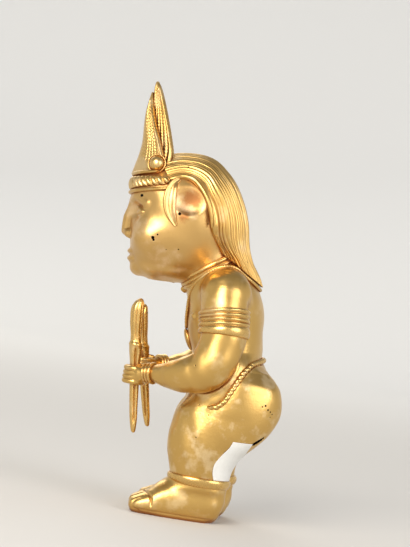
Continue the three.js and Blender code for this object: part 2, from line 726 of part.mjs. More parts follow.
const hair = piece('hair_mantle', hairSolid().subtract(headNear).subtract(trunkNear), gold);

// Ears: a tapering ridge from the lobe up and back over the ear, pierced at the lobe
function onHeadSide(p, rise) {
  const share = head.shareAt(p.z);
  const middle = head.middle.getPoint(share);
  const half = head.halves.getPoint(share);
  const lean = Math.min(1, Math.abs((p.y - middle.y) / half.y)) ** head.power;
  return new THREE.Vector3(half.x * (1 - lean) ** (1 / head.power) + rise, p.y, p.z);
}
const hole = new THREE.CylinderGeometry(earHole.radius, earHole.radius, beyond, 8);
hole.rotateZ(Math.PI / 2);
hole.translate(0, earHole.y, earHole.z);
const leftEar = cord(
  earRoute.map((p) => onHeadSide(p, earRadius - clearance / 2)),
  earRadius,
  { steps: 12, sides: facets.cord },
)
  .add(egg(...onHeadSide(earHole, clearance).toArray(), lobe.wide, lobe.deep, lobe.high, 8))
  .subtract(headNear)
  .subtract(solid(hole));
for (const side of [left, right]) {
  piece('ear_' + side.name, forSide(side, leftEar).subtract(hair), gold);
}

// Headdress leaves: plates that curve round the brow and rise to a point
function leaf(rows, ridge, thickness = leafThickness) {
  const curve = new THREE.CatmullRomCurve3(
    rows.map((r) => new THREE.Vector3(r.front, r.side, r.z)),
  );
  const widths = new THREE.CatmullRomCurve3(rows.map((r) => new THREE.Vector3(r.wide, 0, 0)));
  const columns = 8;
  const rings = [];
  const count = rows.length + 2;
  for (let i = 0; i <= count; i++) {
    const { x: front, y: edge, z } = curve.getPoint(i / count);
    const wide = widths.getPoint(i / count).x;
    const thick = thickness * Math.min(1, leafTip.share + wide * leafTip.perWide);
    const at = (s, depth) => new THREE.Vector3(
      wide * s,
      front + (edge - front) * Math.abs(s) ** 2 + depth,
      z,
    );
    const ring = [];
    for (let k = 0; k <= columns; k++) {
      ring.push(at((2 * k) / columns - 1, k % 2 ? -ridge : 0));
    }
    for (let k = columns; k >= 0; k--) {
      ring.push(at(((2 * k) / columns - 1) * leafInner, thick));
    }
    rings.push(ring);
  }
  return skin(rings);
}
function bossSolid(grow) {
  const radius = boss.radius + grow;
  return egg(boss.x, boss.y, boss.z, boss.radius * boss.flat + grow, radius, radius);
}
const hemBand = browBand(hem).subtract(hair);
const hemNear = browBand({
  ...hem,
  half: hem.half + clearance,
  halfSide: hem.halfSide + clearance,
  rise: hem.rise + clearance,
});
const frontLeaf = largest(
  leaf(frontLeafRows, leafRidge).subtract(headNear).subtract(hair).subtract(hemNear),
);
const bossNear = bossSolid(clearance);
const leafCut = frontLeaf.subtract(bossNear).subtract(mirrored(bossNear));
piece('headdress_front_leaf', leafCut, paleGold);
const rearLeaf = largest(
  leaf(rearLeafRows, leafRidge / 2)
    .subtract(headNear)
    .subtract(hair)
    .subtract(hemNear)
    .subtract(leaf(frontLeafRows, leafRidge, leafThickness + clearance)),
);
piece('headdress_rear_leaf', rearLeaf, gold);
const bossOut = bossSolid(0)
  .subtract(rearLeaf)
  .subtract(headNear)
  .subtract(hair)
  .subtract(hemNear);
piece('headdress_boss_left', bossOut, paleGold);
piece('headdress_boss_right', mirrored(bossOut), paleGold);

// Bands round the brow, from temple to temple, each an oval section on the head
function browBand(band, { steps = 14, ribbed = false } = {}) {
  const rings = [];
  for (let i = 0; i <= steps; i++) {
    const turn = (2 * i) / steps - 1;
    const z = band.front + (band.side - band.front) * Math.abs(turn) ** browDroop;
    const share = head.shareAt(z);
    const angle = -Math.PI / 2 + turn * THREE.MathUtils.degToRad(band.end);
    const surface = head.point(share, angle);
    const middle = head.middle.getPoint(share);
    const outward = new THREE.Vector3(surface.x, surface.y - middle.y, 0).normalize();
    const swell = band.rise * (1 + (ribbed && i % 2 ? ribSwell : 0));
    const half = band.half + (band.halfSide - band.half) * Math.abs(turn);
    const ring = [];
    for (let k = 0; k < facets.band; k++) {
      const a = (-2 * Math.PI * k) / facets.band;
      ring.push(
        surface.clone()
          .addScaledVector(outward, swell * Math.cos(a) + 0.2)
          .addScaledVector(upwards, half * Math.sin(a)),
      );
    }
    rings.push(ring);
  }
  return skin(rings).subtract(headNear);
}
piece('headdress_hem', hemBand, gold);
piece('headband_braid', browBand(braid, { steps: 24, ribbed: true }).subtract(hair), paleGold);
piece('headband_cord', browBand(browCord).subtract(hair), gold);

// Arms, their bands, fists and staves
function ridged(span, rise, ridges) {
  return (share) => {
    const t = (share - span[0]) / (span[1] - span[0]);
    return rise * (ridgeLow + (1 - ridgeLow) * Math.abs(Math.sin(Math.PI * ridges * t)));
  };
}
function armBand(arm, span, rise, ridges) {
  const outer = arm.solid({
    from: span[0],
    to: span[1],
    rings: ridges * 2,
    sides: facets.limb,
    grow: ridged(span, rise, ridges),
  });
  return outer.subtract(arm.solid({
    from: span[0] - boreSlack,
    to: span[1] + boreSlack,
    rings: 3,
    sides: facets.limb,
    grow: clearance,
  }));
}
function staffForm(side) {
  const rows = staffRows.map((r) => {
    if (side === left) return { ...r, x: staffX };
    const z = rightStaff.middle + (r.z - rightStaff.middle) * rightStaff.length;
    const y = r.y + rightStaff.nearer + (rightStaff.top - z) * rightStaff.lean;
    return { ...r, x: staffX, y, z };
  });
  return new Form(rows, { level: true });
}
const flute = (share, angle) => fluteDepth * Math.cos(staffFlutes * angle);
function fist(staff, wrist) {
  const levels = [-1.5, -0.5, 0.5, 1.5].map((n) => wrist.z - fingerDrop + n * fingerPitch);
  let body = null;
  for (const z of levels) {
    const centre = staff.middle.getPoint(staff.shareAt(z));
    const half = staff.halves.getPoint(staff.shareAt(z));
    const reach = Math.max(half.x, half.y) + fluteDepth + clearance + fingerRadius;
    const route = [];
    const bends = 8;
    for (let k = 0; k <= bends; k++) {
      const degrees = fingerTurn.from + ((fingerTurn.to - fingerTurn.from) * k) / bends;
      const angle = THREE.MathUtils.degToRad(degrees);
      route.push(new THREE.Vector3(
        centre.x + reach * Math.cos(angle),
        centre.y + reach * Math.sin(angle),
        z,
      ));
    }
    const finger = cord(route, fingerRadius, { steps: 7, sides: facets.cord });
    body = body ? body.add(finger) : finger;
  }
  const middle = staff.middle.getPoint(staff.shareAt(wrist.z - fingerDrop));
  const x = (middle.x + wrist.x) / 2 + palm.towardsArm.x;
  const y = (middle.y + wrist.y) / 2 + palm.towardsArm.y;
  const z = wrist.z + palm.towardsArm.z;
  body = body.add(egg(x, y, z, palm.wide, palm.deep, palm.high));
  const from = (x0, y0, p) => new THREE.Vector3(x0 + p.x, y0 + p.y, wrist.z + p.z);
  const thumbRoute = [
    from(x, y, thumb.root),
    from(middle.x, middle.y, thumb.knuckle),
    from(middle.x, middle.y, thumb.tip),
  ];
  return body.add(cord(thumbRoute, fingerRadius, { steps: 4, sides: facets.cord }));
}
for (const side of [left, right]) {
  const arm = side === left ? leftArm : rightArm;
  const near = forSide(side, bodyNear);
  const staff = staffForm(side);
  const put = (kind, body, material) => {
    piece(kind + '_' + side.name, forSide(side, body), material);
  };
  const staffNear = staff.solid({
    from: 0.2,
    to: 0.6,
    rings: 6,
    sides: 12,
    grow: clearance + fluteDepth,
  });
  const armSolid = arm
    .solid({ from: armMiddle + halfGap, to: wristCut - 2 * halfGap, rings: 12, sides: facets.limb })
    .subtract(near);
  put('arm', armSolid, gold);
  const upperBand = armBand(arm, armbandSpan, armbandRise, armbandRidges).subtract(near);
  put('armband', upperBand, paleGold);
  put('bracelet', armBand(arm, braceletSpan, braceletRise, braceletRidges), paleGold);
  const wristEnd = arm.solid({ from: wristCut, to: 1, rings: 2, sides: facets.limb });
  const armEnd = arm.solid({
    from: braceletSpan[0] - boreSlack,
    to: wristCut,
    rings: 3,
    sides: facets.limb,
    grow: braceletRise + clearance,
  });
  const hand = fist(staff, arm.middle.getPoint(1)).subtract(armEnd).add(wristEnd);
  put('hand', hand.subtract(staffNear), gold);
  const sides = staffFlutes * 3;
  put('staff', staff.solid({ rings: sections.staff, sides, grow: flute }), paleGold);
}

// Collar, necklace, knot and pendant
const collarReach = collarHalf / neck.middle.getLength();
const collarSpan = [collarShare - collarReach, collarShare + collarReach];
const collar = neck
  .solid({
    from: collarSpan[0],
    to: collarSpan[1],
    rings: collarRidges * 2,
    sides: facets.limb,
    grow: ridged(collarSpan, collarRise, collarRidges),
  })
  .subtract(neck.solid({ to: 0.8, rings: 4, sides: facets.limb, grow: clearance }))
  .subtract(head.solid({ rings: sections.head, sides: facets.body, grow: clearance }))
  .subtract(trunk.solid({ rings: sections.trunk, sides: facets.body, grow: clearance }))
  .subtract(hair);

const toMiddle = (p) => new THREE.Vector3(0, chestMiddle.y, Math.min(p.z, chestMiddle.top));
const leftRoute = drape(necklaceRoute, torsoOuter, cordRadius + clearance + cordLift, toMiddle);
const rightRoute = leftRoute.slice(1, -1).reverse().map((p) => new THREE.Vector3(-p.x, p.y, p.z));
const necklaceRun = { joined: true, steps: 54, sides: facets.cord };
const necklace = cord([...leftRoute, ...rightRoute], cordRadius, necklaceRun)
  .subtract(torsoOuter)
  .subtract(hair);
piece('necklace_cord', necklace, paleGold);
const necklaceNear = cord([...leftRoute, ...rightRoute], cordRadius + clearance, necklaceRun);
piece('collar', collar.subtract(necklaceNear), paleGold);
const frontAt = (z) => trunk.point(trunk.shareAt(z), -Math.PI / 2).y;
const pendantY = frontAt(pendant.z) - pendant.thick - clearance;
const pendantLean = Math.atan2(
  frontAt(pendant.z - pendant.high) - frontAt(pendant.z + pendant.high),
  2 * pendant.high,
);
function pendantSolid() {
  const geometry = new THREE.SphereGeometry(1, 12, 8);
  geometry.rotateX(Math.PI / 2);
  geometry.scale(pendant.wide, pendant.thick, pendant.high);
  geometry.rotateX(pendantLean);
  geometry.translate(0, pendantY, pendant.z);
  return solid(geometry);
}
piece('pendant', pendantSolid().subtract(trunkNear).subtract(necklaceNear), gold);
const knot = egg(
  0, throatKnot.y, throatKnot.z,
  throatKnot.radius, throatKnot.radius, throatKnot.radius, 10,
);
piece('throat_knot', knot.subtract(trunkNear).subtract(collar).subtract(necklaceNear), gold);

// Lower body
const [leftLeg, rightLeg] = [left, right].map((side) => largest(
  legShells.intersect(forSide(side, leftHalf)),
));
piece('leg_left', leftLeg, gold);
piece('leg_right', rightLeg, gold);

// Belt: a twisted cord along the belt line, all round the body
function beltRoute() {
  const line = new THREE.CatmullRomCurve3(
    beltLine.map((p) => new THREE.Vector3(0, p.y, p.z)),
    false,
    'centripetal',
  );
  const points = [];
  for (let k = 0; k < beltOval.points; k++) {
    const angle = (2 * Math.PI * k) / beltOval.points;
    const y = beltOval.y + beltOval.deep * Math.sin(angle);
    let low = 0;
    let high = 1;
    for (let n = 0; n < 24; n++) {
      const mid = (low + high) / 2;
      if (line.getPoint(mid).y > y) low = mid;
      else high = mid;
    }
    points.push(new THREE.Vector3(beltOvalWide * Math.cos(angle), y, line.getPoint(low).z));
  }
  return points;
}
const beltLoop = drape(
  beltRoute(),
  bodyOuter,
  beltRadius + clearance,
  (p) => new THREE.Vector3(0, beltOval.y, p.z),
);
const armNear = (arm) => (
  arm.solid({ from: armMiddle, rings: 16, sides: facets.limb, grow: clearance })
);
const armsNear = armNear(leftArm).add(mirrored(armNear(rightArm)));
const belt = cord(beltLoop, beltRadius, { joined: true, steps: 60, sides: 5, twists: beltTwists })
  .subtract(bodyOuter)
  .subtract(armsNear);
piece('belt_cord', belt, paleGold);

// Feet and anklets
const belowAnkle = levelBlock(0, ankleZ - clearance / 2);
function footSolid({ leg, foot }, grow) {
  const ankle = leg.solid({ to: 2 / sections.leg, rings: 2, sides: facets.limb, grow });
  return foot.solid({ rings: sections.foot, sides: facets.limb, grow }).add(ankle);
}
function ankletSolid(forms) {
  const from = forms.leg.shareAt(anklet.bottom);
  const to = forms.leg.shareAt(anklet.top);
  const grow = ridged([from, to], anklet.rise, 1);
  return forms.leg
    .solid({ from, to, rings: 3, sides: facets.limb, grow })
    .subtract(footSolid(forms, clearance));
}
for (const [side, forms] of [[left, leftForms], [right, rightForms]]) {
  const footBody = footSolid(forms, 0).intersect(belowAnkle);
  piece('foot_' + side.name, forSide(side, footBody), gold);
  piece('anklet_' + side.name, forSide(side, ankletSolid(forms)), paleGold);
}

// Paper label that follows the outer side and the back of the left leg
function labelSolid() {
  const { leg } = leftForms;
  const rings = [];
  const columns = 8;
  const rows = 4;
  for (let i = 0; i <= rows; i++) {
    const share = leg.shareAt(label.bottom + ((label.top - label.bottom) * i) / rows);
    const ring = [];
    const at = (k, grow) => {
      const angle = THREE.MathUtils.degToRad(label.from + ((label.to - label.from) * k) / columns);
      return leg.point(share, angle, grow);
    };
    for (let k = 0; k <= columns; k++) ring.push(at(k, clearance + label.thick));
    for (let k = columns; k >= 0; k--) ring.push(at(k, clearance));
    rings.push(ring);
  }
  return skin(rings);
}
piece('label_sticker', labelSolid().subtract(ankletSolid(leftForms)), paper);

// Casting cores
const coreGap = -wall - clearance;
piece('head_core', headHollow(coreGap).intersect(upperSide), clay);
piece('torso_core', bodyHollow(coreGap).subtract(collarSide).intersect(trunkSide), clay);
piece('hips_core', bodyHollow(coreGap).intersect(aboveAnkle).subtract(belowBelt), clay);

// The figure: every piece a named mesh, with the middle of the box's underside at the origin
const figure = new THREE.Group();
for (const { name, body, material } of pieces) {
  const mesh = new THREE.Mesh(geometryOf(body), material);
  mesh.name = name;
  figure.add(mesh);
}
const box = new THREE.Box3().setFromObject(figure);
figure.position.y = -(box.min.y + box.max.y) / 2;

export default figure;
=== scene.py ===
"""A cast figurine of gold-copper alloy that holds two staves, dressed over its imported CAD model.

Every new piece is a grid of points worked out with numpy. Lengths are written in millimetres in the
frame in which the figure was drawn: y = 0 at the back of the heels, the face towards -Y, the figure's
left side towards +X, the soles at z = 0. The meshes are in metres, in the CAD model's own frame.
"""

import logging
import math
from collections.abc import Callable, Sequence
from dataclasses import dataclass, field
from enum import Enum

import bpy
import numpy as np
from mathutils import Matrix, Vector


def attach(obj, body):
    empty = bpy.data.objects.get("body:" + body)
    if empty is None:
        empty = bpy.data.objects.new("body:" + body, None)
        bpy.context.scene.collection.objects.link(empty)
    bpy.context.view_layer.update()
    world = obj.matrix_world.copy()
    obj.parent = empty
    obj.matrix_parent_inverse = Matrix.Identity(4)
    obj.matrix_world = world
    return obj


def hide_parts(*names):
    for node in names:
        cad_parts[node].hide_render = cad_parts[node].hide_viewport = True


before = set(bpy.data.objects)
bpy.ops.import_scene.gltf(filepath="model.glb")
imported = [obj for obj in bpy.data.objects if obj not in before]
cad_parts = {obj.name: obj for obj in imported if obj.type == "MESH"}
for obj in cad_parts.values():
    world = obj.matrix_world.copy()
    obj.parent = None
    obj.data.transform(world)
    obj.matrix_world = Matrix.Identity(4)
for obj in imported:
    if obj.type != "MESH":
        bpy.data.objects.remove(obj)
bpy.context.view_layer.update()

MM = 0.001
DRAWN_TO_BOX = np.array([0.0, 13.985, 0.0])  # from the heel's frame to the middle of the CAD box
TAU = 2 * math.pi
BATCH = 200_000  # how many points are measured against a swept form at once
MIX_A, MIX_B, MIXED = 6, 7, 2  # a colour mix's two inputs and its output, by number
TRUNK_MIDDLE = np.array([0.0, -8.0, 0.0])  # the upright line that a cord's outer side faces away from
LEVEL = np.array([1, 1, 0])  # keeps the level part of a direction
MIRROR = np.array([-1.0, 1.0, 1.0])
log = logging.getLogger("figurine")

Array = np.ndarray
Distance = Callable[[Array], Array]


class Side(Enum):
    """The figure's own left and right, with the sign of x there."""

    LEFT = 1
    RIGHT = -1

    @property
    def tag(self) -> str:
        """The ending of a piece's name."""
        return self.name.lower()


# Shapes


def eased(knots: Array, values: Array, at: Array) -> Array:
    """Reads a smooth curve through a table.

    Between two knots it is the cubic whose value and slope match at both, with each knot's slope taken
    from its two neighbours: v = h00 a + h10 h m + h01 b + h11 h n.

    Args:
        knots: Rising positions.
        values: One row of values for each knot.
        at: Where to read, of any shape, held within the knots.

    Returns:
        The values there, with the columns of the table as the last axis.
    """
    at = np.clip(at, knots[0], knots[-1])
    i = np.clip(np.searchsorted(knots, at, side="right") - 1, 0, len(knots) - 2)
    gap = (knots[i + 1] - knots[i])[..., None]
    t = (at - knots[i])[..., None] / gap
    slope = np.gradient(values, knots, axis=0)
    a, b, m, n = values[i], values[i + 1], slope[i], slope[i + 1]
    return (
        (2 * t**3 - 3 * t**2 + 1) * a
        + (t**3 - 2 * t**2 + t) * gap * m
        + (3 * t**2 - 2 * t**3) * b
        + (t**3 - t**2) * gap * n
    )


def oval_distance(x: Array, y: Array, wide: Array, deep: Array, power: float) -> Array:
    """How far a point lies outside an oval, along the line to its middle.

    It is r - r / q, where q = (|x / wide|^power + |y / deep|^power)^(1 / power).

    Args:
        x: Place across the oval.
        y: Place along its depth.
        wide: Half width.
        deep: Half depth.
        power: 2 for an ellipse, and more for fuller corners.

    Returns:
        The distance, below 0 inside.
    """
    x = np.abs(x) + 1e-4
    q = ((x / wide) ** power + (np.abs(y) / deep) ** power) ** (1 / power)
    r = np.hypot(x, y)
    return r - r / q


def joined(a: Array, b: Array, blend: float) -> Array:
    """Union of two distances with a rounded valley: min(a, b) - max(blend - |a - b|, 0)^2 / 4 blend."""
    return np.minimum(a, b) - np.maximum(blend - np.abs(a - b), 0) ** 2 / (4 * blend)


def cut(a: Array, tool: Array, blend: float) -> Array:
    """A distance with a tool's inside taken away and a rounded lip."""
    return -joined(-a, tool, blend)


def filleted(own: Array, other: Array, blend: float) -> Array:
    """One of two pieces that meet, swollen by max(blend + own - other, 0)^2 / 4 blend up to their seam."""
    swell = np.maximum(blend + own - other, 0) ** 2 / (4 * blend)
    return own - np.minimum(swell, blend / 4)


def pulse(x: Array, width: float) -> Array:
    """A round bump of height 1 at x = 0: exp(-(x / width)^2)."""
    return np.exp(-((x / width) ** 2))


def smooth_step(x: Array, low: float, high: float) -> Array:
    """Rises from 0 at low to 1 at high as 3 t^2 - 2 t^3."""
    t = np.clip((x - low) / (high - low), 0, 1)
    return t * t * (3 - 2 * t)


def rounded(t: Array) -> Array:
    """Rises from 0 at t = 0 to 1 at t = 1 as a quarter circle: sqrt(1 - (1 - t)^2)."""
    return np.sqrt(1 - (1 - np.clip(t, 0, 1)) ** 2)


def crowded(count: int, crowd: float) -> Array:
    """Places from -1 to 1, closer towards both ends: sin(crowd pi t / 2) / sin(crowd pi / 2)."""
    return np.sin(np.linspace(-1, 1, count) * math.pi / 2 * crowd) / math.sin(math.pi / 2 * crowd)


def bell(count: int) -> Array:
    """Weights of a moving mean, highest in the middle."""
    return np.hanning(count) / np.hanning(count).sum()


def unit(v: Array) -> Array:
    """Directions of length 1."""
    return v / np.linalg.norm(v, axis=-1, keepdims=True)


def spine_axes(spine: Array) -> tuple[Array, Array]:
    """The directions along a spine, and out from it on the side of +X.

    Args:
        spine: Its points in order.

    Returns:
        Both directions at each point.
    """
    ahead = unit(np.gradient(spine, axis=0))
    return ahead, unit(np.array([1.0, 0, 0]) - ahead * ahead[:, :1])


def hand_modelled(p: Array) -> Array:
    """The slow unevenness of a surface worked by hand, alike on both sides.

    With u = x^2 / 18 it is 0.07 (sin(0.75 u + 0.5 y) sin(0.62 z + 0.2 y) + 0.6 sin(0.5 z + 0.66 y +
    0.4 u)).

    Args:
        p: Points.

    Returns:
        The height over the smooth surface at each.
    """
    u, y, z = p[..., 0] ** 2 / 18, p[..., 1], p[..., 2]
    broad = np.sin(0.75 * u + 0.5 * y) * np.sin(0.62 * z + 0.2 * y)
    return 0.07 * (broad + 0.6 * np.sin(0.5 * z + 0.66 * y + 0.4 * u))


@dataclass(frozen=True)
class LevelForm:
    """Level ovals over one another, each given by z, front y, back y and half width."""

    rows: tuple[tuple[float, float, float, float], ...]
    power: float = 2.0
    x: float = 0.0

    def sizes(self, z: Array) -> tuple[Array, Array, Array]:
        """The oval at a height.

        Args:
            z: Heights, of any shape.

        Returns:
            Its middle y, half depth and half width.
        """
        table = np.array(self.rows)
        front, back, wide = np.moveaxis(eased(table[:, 0], table[:, 1:], z), -1, 0)
        return (front + back) / 2, (back - front) / 2, wide

    def distance(self, p: Array) -> Array:
        """How far points lie outside the form, measured level, or upright past its ends.

        Args:
            p: Points.

        Returns:
            The distance, below 0 inside.
        """
        middle, deep, wide = self.sizes(p[..., 2])
        d = oval_distance(p[..., 0] - self.x, p[..., 1] - middle, wide, deep, self.power)
        held = np.clip(p[..., 2], self.rows[0][0], self.rows[-1][0])
        over = np.abs(p[..., 2] - held)
        return np.where(over > 0, np.hypot(np.maximum(d, 0), over), d)


@dataclass
class SweptForm:
    """Ovals square to a smooth line through stations of x, y, z, half width and half depth."""

    rows: Sequence[tuple[float, float, float, float, float]]
    power: float = 2.0
    count: int = 96
    line: dict[str, Array] = field(init=False)

    def __post_init__(self) -> None:
        """Lays out the line once, so that distances to it are quick."""
        self.line = self.at(np.linspace(0, 1, self.count))

    def at(self, share: Array) -> dict[str, Array]:
        """The line and its oval at some places.

        Args:
            share: Places as shares of the way through the stations.

        Returns:
            The centre, the directions forward, across and out, and the half sizes wide and deep.
        """
        table = np.array(self.rows, float)
        knots = np.linspace(0, 1, len(table))
        values = eased(knots, table, share)
        step = 1e-3
        low, high = np.clip(share - step, 0, 1), np.clip(share + step, 0, 1)
        ahead = eased(knots, table, high) - eased(knots, table, low)
        forward = unit(ahead[..., :3])
        across = unit(np.array([1.0, 0, 0]) - forward * forward[..., :1])
        return {
            "centre": values[..., :3],
            "forward": forward,
            "across": across,
            "out": np.cross(forward, across),
            "wide": values[..., 3],
            "deep": values[..., 4],
        }

    def distance(self, p: Array) -> Array:
        """How far points lie outside the form, square to the nearest place on its line.

        Args:
            p: Points.

        Returns:
            The distance, below 0 inside.
        """
        flat = p.reshape(-1, 3)
        parts = [self._near(flat[i : i + BATCH]) for i in range(0, len(flat), BATCH)]
        return np.concatenate(parts).reshape(p.shape[:-1])

    def _near(self, p: Array) -> Array:
        """The distance of a list of points, found by the nearest sample and then between samples.

        Args:
            p: One row for each point.

        Returns:
            The distance of each.
        """
        line = self.line
        centre = line["centre"]
        i = np.argmin((centre**2).sum(1) - 2 * p @ centre.T, axis=1)
        last = self.count - 1
        spacing = np.linalg.norm(np.gradient(centre, axis=0), axis=1)
        s = np.clip(i + ((p - centre[i]) * line["forward"][i]).sum(1) / spacing[i], 0, last)
        low = np.minimum(s.astype(int), last - 1)
        t = s - low

        def between(values: Array) -> Array:
            """Values part of the way from one sample to the next."""
            share = t if values.ndim == 1 else t[:, None]
            return values[low] * (1 - share) + values[low + 1] * share

        gap = p - between(centre)
        d = oval_distance(
            (gap * between(line["across"])).sum(1),
            (gap * between(line["out"])).sum(1),
            between(line["wide"]),
            between(line["deep"]),
            self.power,
        )
        past = np.abs((gap * between(line["forward"])).sum(1)) * ((s <= 0) | (s >= last))
        return np.where(past > 1e-3, np.hypot(np.maximum(d, 0), past), d)


def egg(p: Array, centre: tuple[float, float, float], half: tuple[float, float, float]) -> Array:
    """How far points lie outside an egg, along the line to its middle.

    Args:
        p: Points.
        centre: The egg's middle.
        half: Its half sizes along x, y and z.

    Returns:
        The distance at each, below 0 inside.
    """
    gap = p - np.array(centre)
    r = np.linalg.norm(gap, axis=-1) + 1e-6
    return r - r / (np.linalg.norm(gap / np.array(half), axis=-1) + 1e-6)


def tube(p: Array, route: Sequence[tuple[float, float, float]], radius: float) -> Array:
    """How far points lie outside a round cord along straight legs between the points of a route.

    Args:
        p: Points.
        route: The points that the cord joins.
        radius: Its radius.

    Returns:
        The distance, below 0 inside.
    """
    best = np.full(p.shape[:-1], np.inf)
    for a, b in zip(np.array(route)[:-1], np.array(route)[1:], strict=True):
        along = b - a
        t = np.clip(((p - a) @ along) / (along @ along), 0, 1)
        best = np.minimum(best, np.linalg.norm(p - a - t[..., None] * along, axis=-1))
    return best - radius


@dataclass
class Rays:
    """Lines from the inside of a form to its surface, one for each point of a grid."""

    start: Array
    way: Array

    def reach(self, distance: Distance, far: float, steps: int = 26, halvings: int = 12) -> Array:
        """Finds the outermost place where the distance falls to nothing.

        Args:
            distance: The field to cross.
            far: How far out to begin, in millimetres.
            steps: Coarse samples from there inwards.
            halvings: Times that the step found is halved.

        Returns:
            The length of each ray.
        """
        high = np.full(self.start.shape[:-1], float(far))
        low = np.zeros_like(high)
        found = np.zeros(high.shape, bool)
        for length in np.linspace(far, far / steps, steps):
            inside = distance(self.start + length * self.way) < 0
            new = inside & ~found
            low[new] = length
            high[new] = length + far / steps
            found |= inside
        for _ in range(halvings):
            middle = (low + high) / 2
            inside = distance(self.start + middle[..., None] * self.way) < 0
            low = np.where(inside & found, middle, low)
            high = np.where(inside, high, middle)
        return np.where(found, (low + high) / 2, far / steps)

    def cast(self, distance: Distance, far: float, steps: int = 26) -> Array:
        """The points where the rays leave the form, with the wax's unevenness along each ray."""
        points = self.start + self.reach(distance, far, steps)[..., None] * self.way
        return points + hand_modelled(points)[..., None] * self.way


def capsule(line: dict[str, Array], angles: Array, fans: tuple[int, int]) -> Rays:
    """Rays square to a line, with a fan of rays round each of its ends.

    A ray is across cos(a) + out sin(a); in a fan it leans by e towards the end, as cos(e) times that
    plus sin(e) forward.

    Args:
        line: Centre, forward, across and out at each row.
        angles: The angles of the columns.
        fans: How many rows each end's fan has.

    Returns:
        The rays, rows by columns.
    """
    lean = np.concatenate([
        -np.linspace(90, 90 / max(fans[0], 1), fans[0]),
        np.zeros(len(line["centre"])),
        np.linspace(90 / max(fans[1], 1), 90, fans[1]),
    ])
    row = np.concatenate([
        np.zeros(fans[0], int),
        np.arange(len(line["centre"])),
        np.full(fans[1], len(line["centre"]) - 1),
    ])
    lean = np.radians(np.clip(lean, -89.5, 89.5))[:, None, None]
    turn = angles[None, :, None]
    flat = line["across"][row, None] * np.cos(turn) + line["out"][row, None] * np.sin(turn)
    way = np.cos(lean) * flat + np.sin(lean) * line["forward"][row, None]
    return Rays(np.broadcast_to(line["centre"][row, None], way.shape), way)


def upright(x: float, y: Array, z: Array) -> dict[str, Array]:
    """A line of centres over one another whose rays are level, from +X towards +Y.

    Args:
        x: Where it stands across the figure.
        y: Where each centre lies from front to back.
        z: Heights of the centres.

    Returns:
        The centres and directions, as a swept form gives them.
    """
    ones = np.ones_like(z)
    axes = np.eye(3)
    return {
        "centre": np.stack([x * ones, y * ones, z], -1),
        "forward": ones[:, None] * axes[2],
        "across": ones[:, None] * axes[0],
        "out": ones[:, None] * axes[1],
    }


def around(count: int) -> Array:
    """Angles of the columns of a closed ring."""
    return np.arange(count) * TAU / count


@dataclass
class Skin:
    """A closed surface of rings.

    It has a pole in the middle of its first and its last ring, or goes on from the last to the first.
    """

    points: Array
    looped: bool = False

    def mirrored(self, side: Side) -> "Skin":
        """The same surface on the given side."""
        return Skin(self.points * np.array([side.value, 1, 1]), self.looped)

    def faces(self) -> tuple[Array, Array, Array]:
        """The surface as faces that point outwards.

        Returns:
            The list of points, the quads by four indices and the triangles by three.
        """
        rows, columns = self.points.shape[:2]
        flat = self.points.reshape(-1, 3)
        i = np.arange(rows if self.looped else rows - 1)[:, None]
        j = np.arange(columns)[None, :]
        k, n = (j + 1) % columns, (i + 1) % rows
        quads = np.stack([i * columns + j, i * columns + k, n * columns + k, n * columns + j], -1)
        quads = quads.reshape(-1, 4)
        triangles = np.zeros((0, 3), int)
        if not self.looped:
            poles = np.stack([self.points[0].mean(0), self.points[-1].mean(0)])
            flat = np.concatenate([flat, poles])
            first, last = rows * columns, rows * columns + 1
            ring, after = np.arange(columns), (np.arange(columns) + 1) % columns
            end = (rows - 1) * columns
            triangles = np.concatenate([
                np.stack([after, ring, np.full(columns, first)], -1),
                np.stack([end + ring, end + after, np.full(columns, last)], -1),
            ])
        corners = flat[quads] - flat.mean(0)
        volume = (
            np.einsum("ij,ij->i", corners[:, 0], np.cross(corners[:, 1], corners[:, 2])).sum()
            + np.einsum("ij,ij->i", corners[:, 0], np.cross(corners[:, 2], corners[:, 3])).sum()
        )
        if volume < 0:
            quads, triangles = quads[:, ::-1], triangles[:, ::-1]
        return flat, quads, triangles


def make_piece(
    name: str,
    skins: Sequence[Skin],
    finish: bpy.types.Material,
    nodes: Sequence[str],
) -> bpy.types.Object:
    """Makes one piece of closed surfaces, dresses it and ties it to the CAD model.

    Args:
        name: The piece's name.
        skins: Its surfaces, in millimetres.
        finish: Its material.
        nodes: The CAD nodes it stands for.

    Returns:
        The new object.
    """
    points, loops, sizes, base = [], [], [], 0
    for skin in skins:
        flat, quads, triangles = skin.faces()
        points.append(flat)
        loops += [(quads + base).ravel(), (triangles + base).ravel()]
        sizes += [np.full(len(quads), 4), np.full(len(triangles), 3)]
        base += len(flat)
    vertices = (np.concatenate(points) + DRAWN_TO_BOX) * MM
    corners, counts = np.concatenate(loops), np.concatenate(sizes)
    mesh = bpy.data.meshes.new(name)
    mesh.vertices.add(len(vertices))
    mesh.vertices.foreach_set("co", vertices.astype(np.float32).ravel())
    mesh.loops.add(len(corners))
    mesh.loops.foreach_set("vertex_index", corners.astype(np.int32))
    mesh.polygons.add(len(counts))
    mesh.polygons.foreach_set("loop_start", (np.cumsum(counts) - counts).astype(np.int32))
    mesh.polygons.foreach_set("use_smooth", np.ones(len(counts), bool))
    mesh.update(calc_edges=True)
    mesh.validate()
    mesh.materials.append(finish)
    piece = bpy.data.objects.new(name, mesh)
    bpy.context.scene.collection.objects.link(piece)
    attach(piece, "root")
    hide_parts(*nodes)
    log.info("%s: %d faces for %s", name, len(counts), ", ".join(nodes))
    return piece


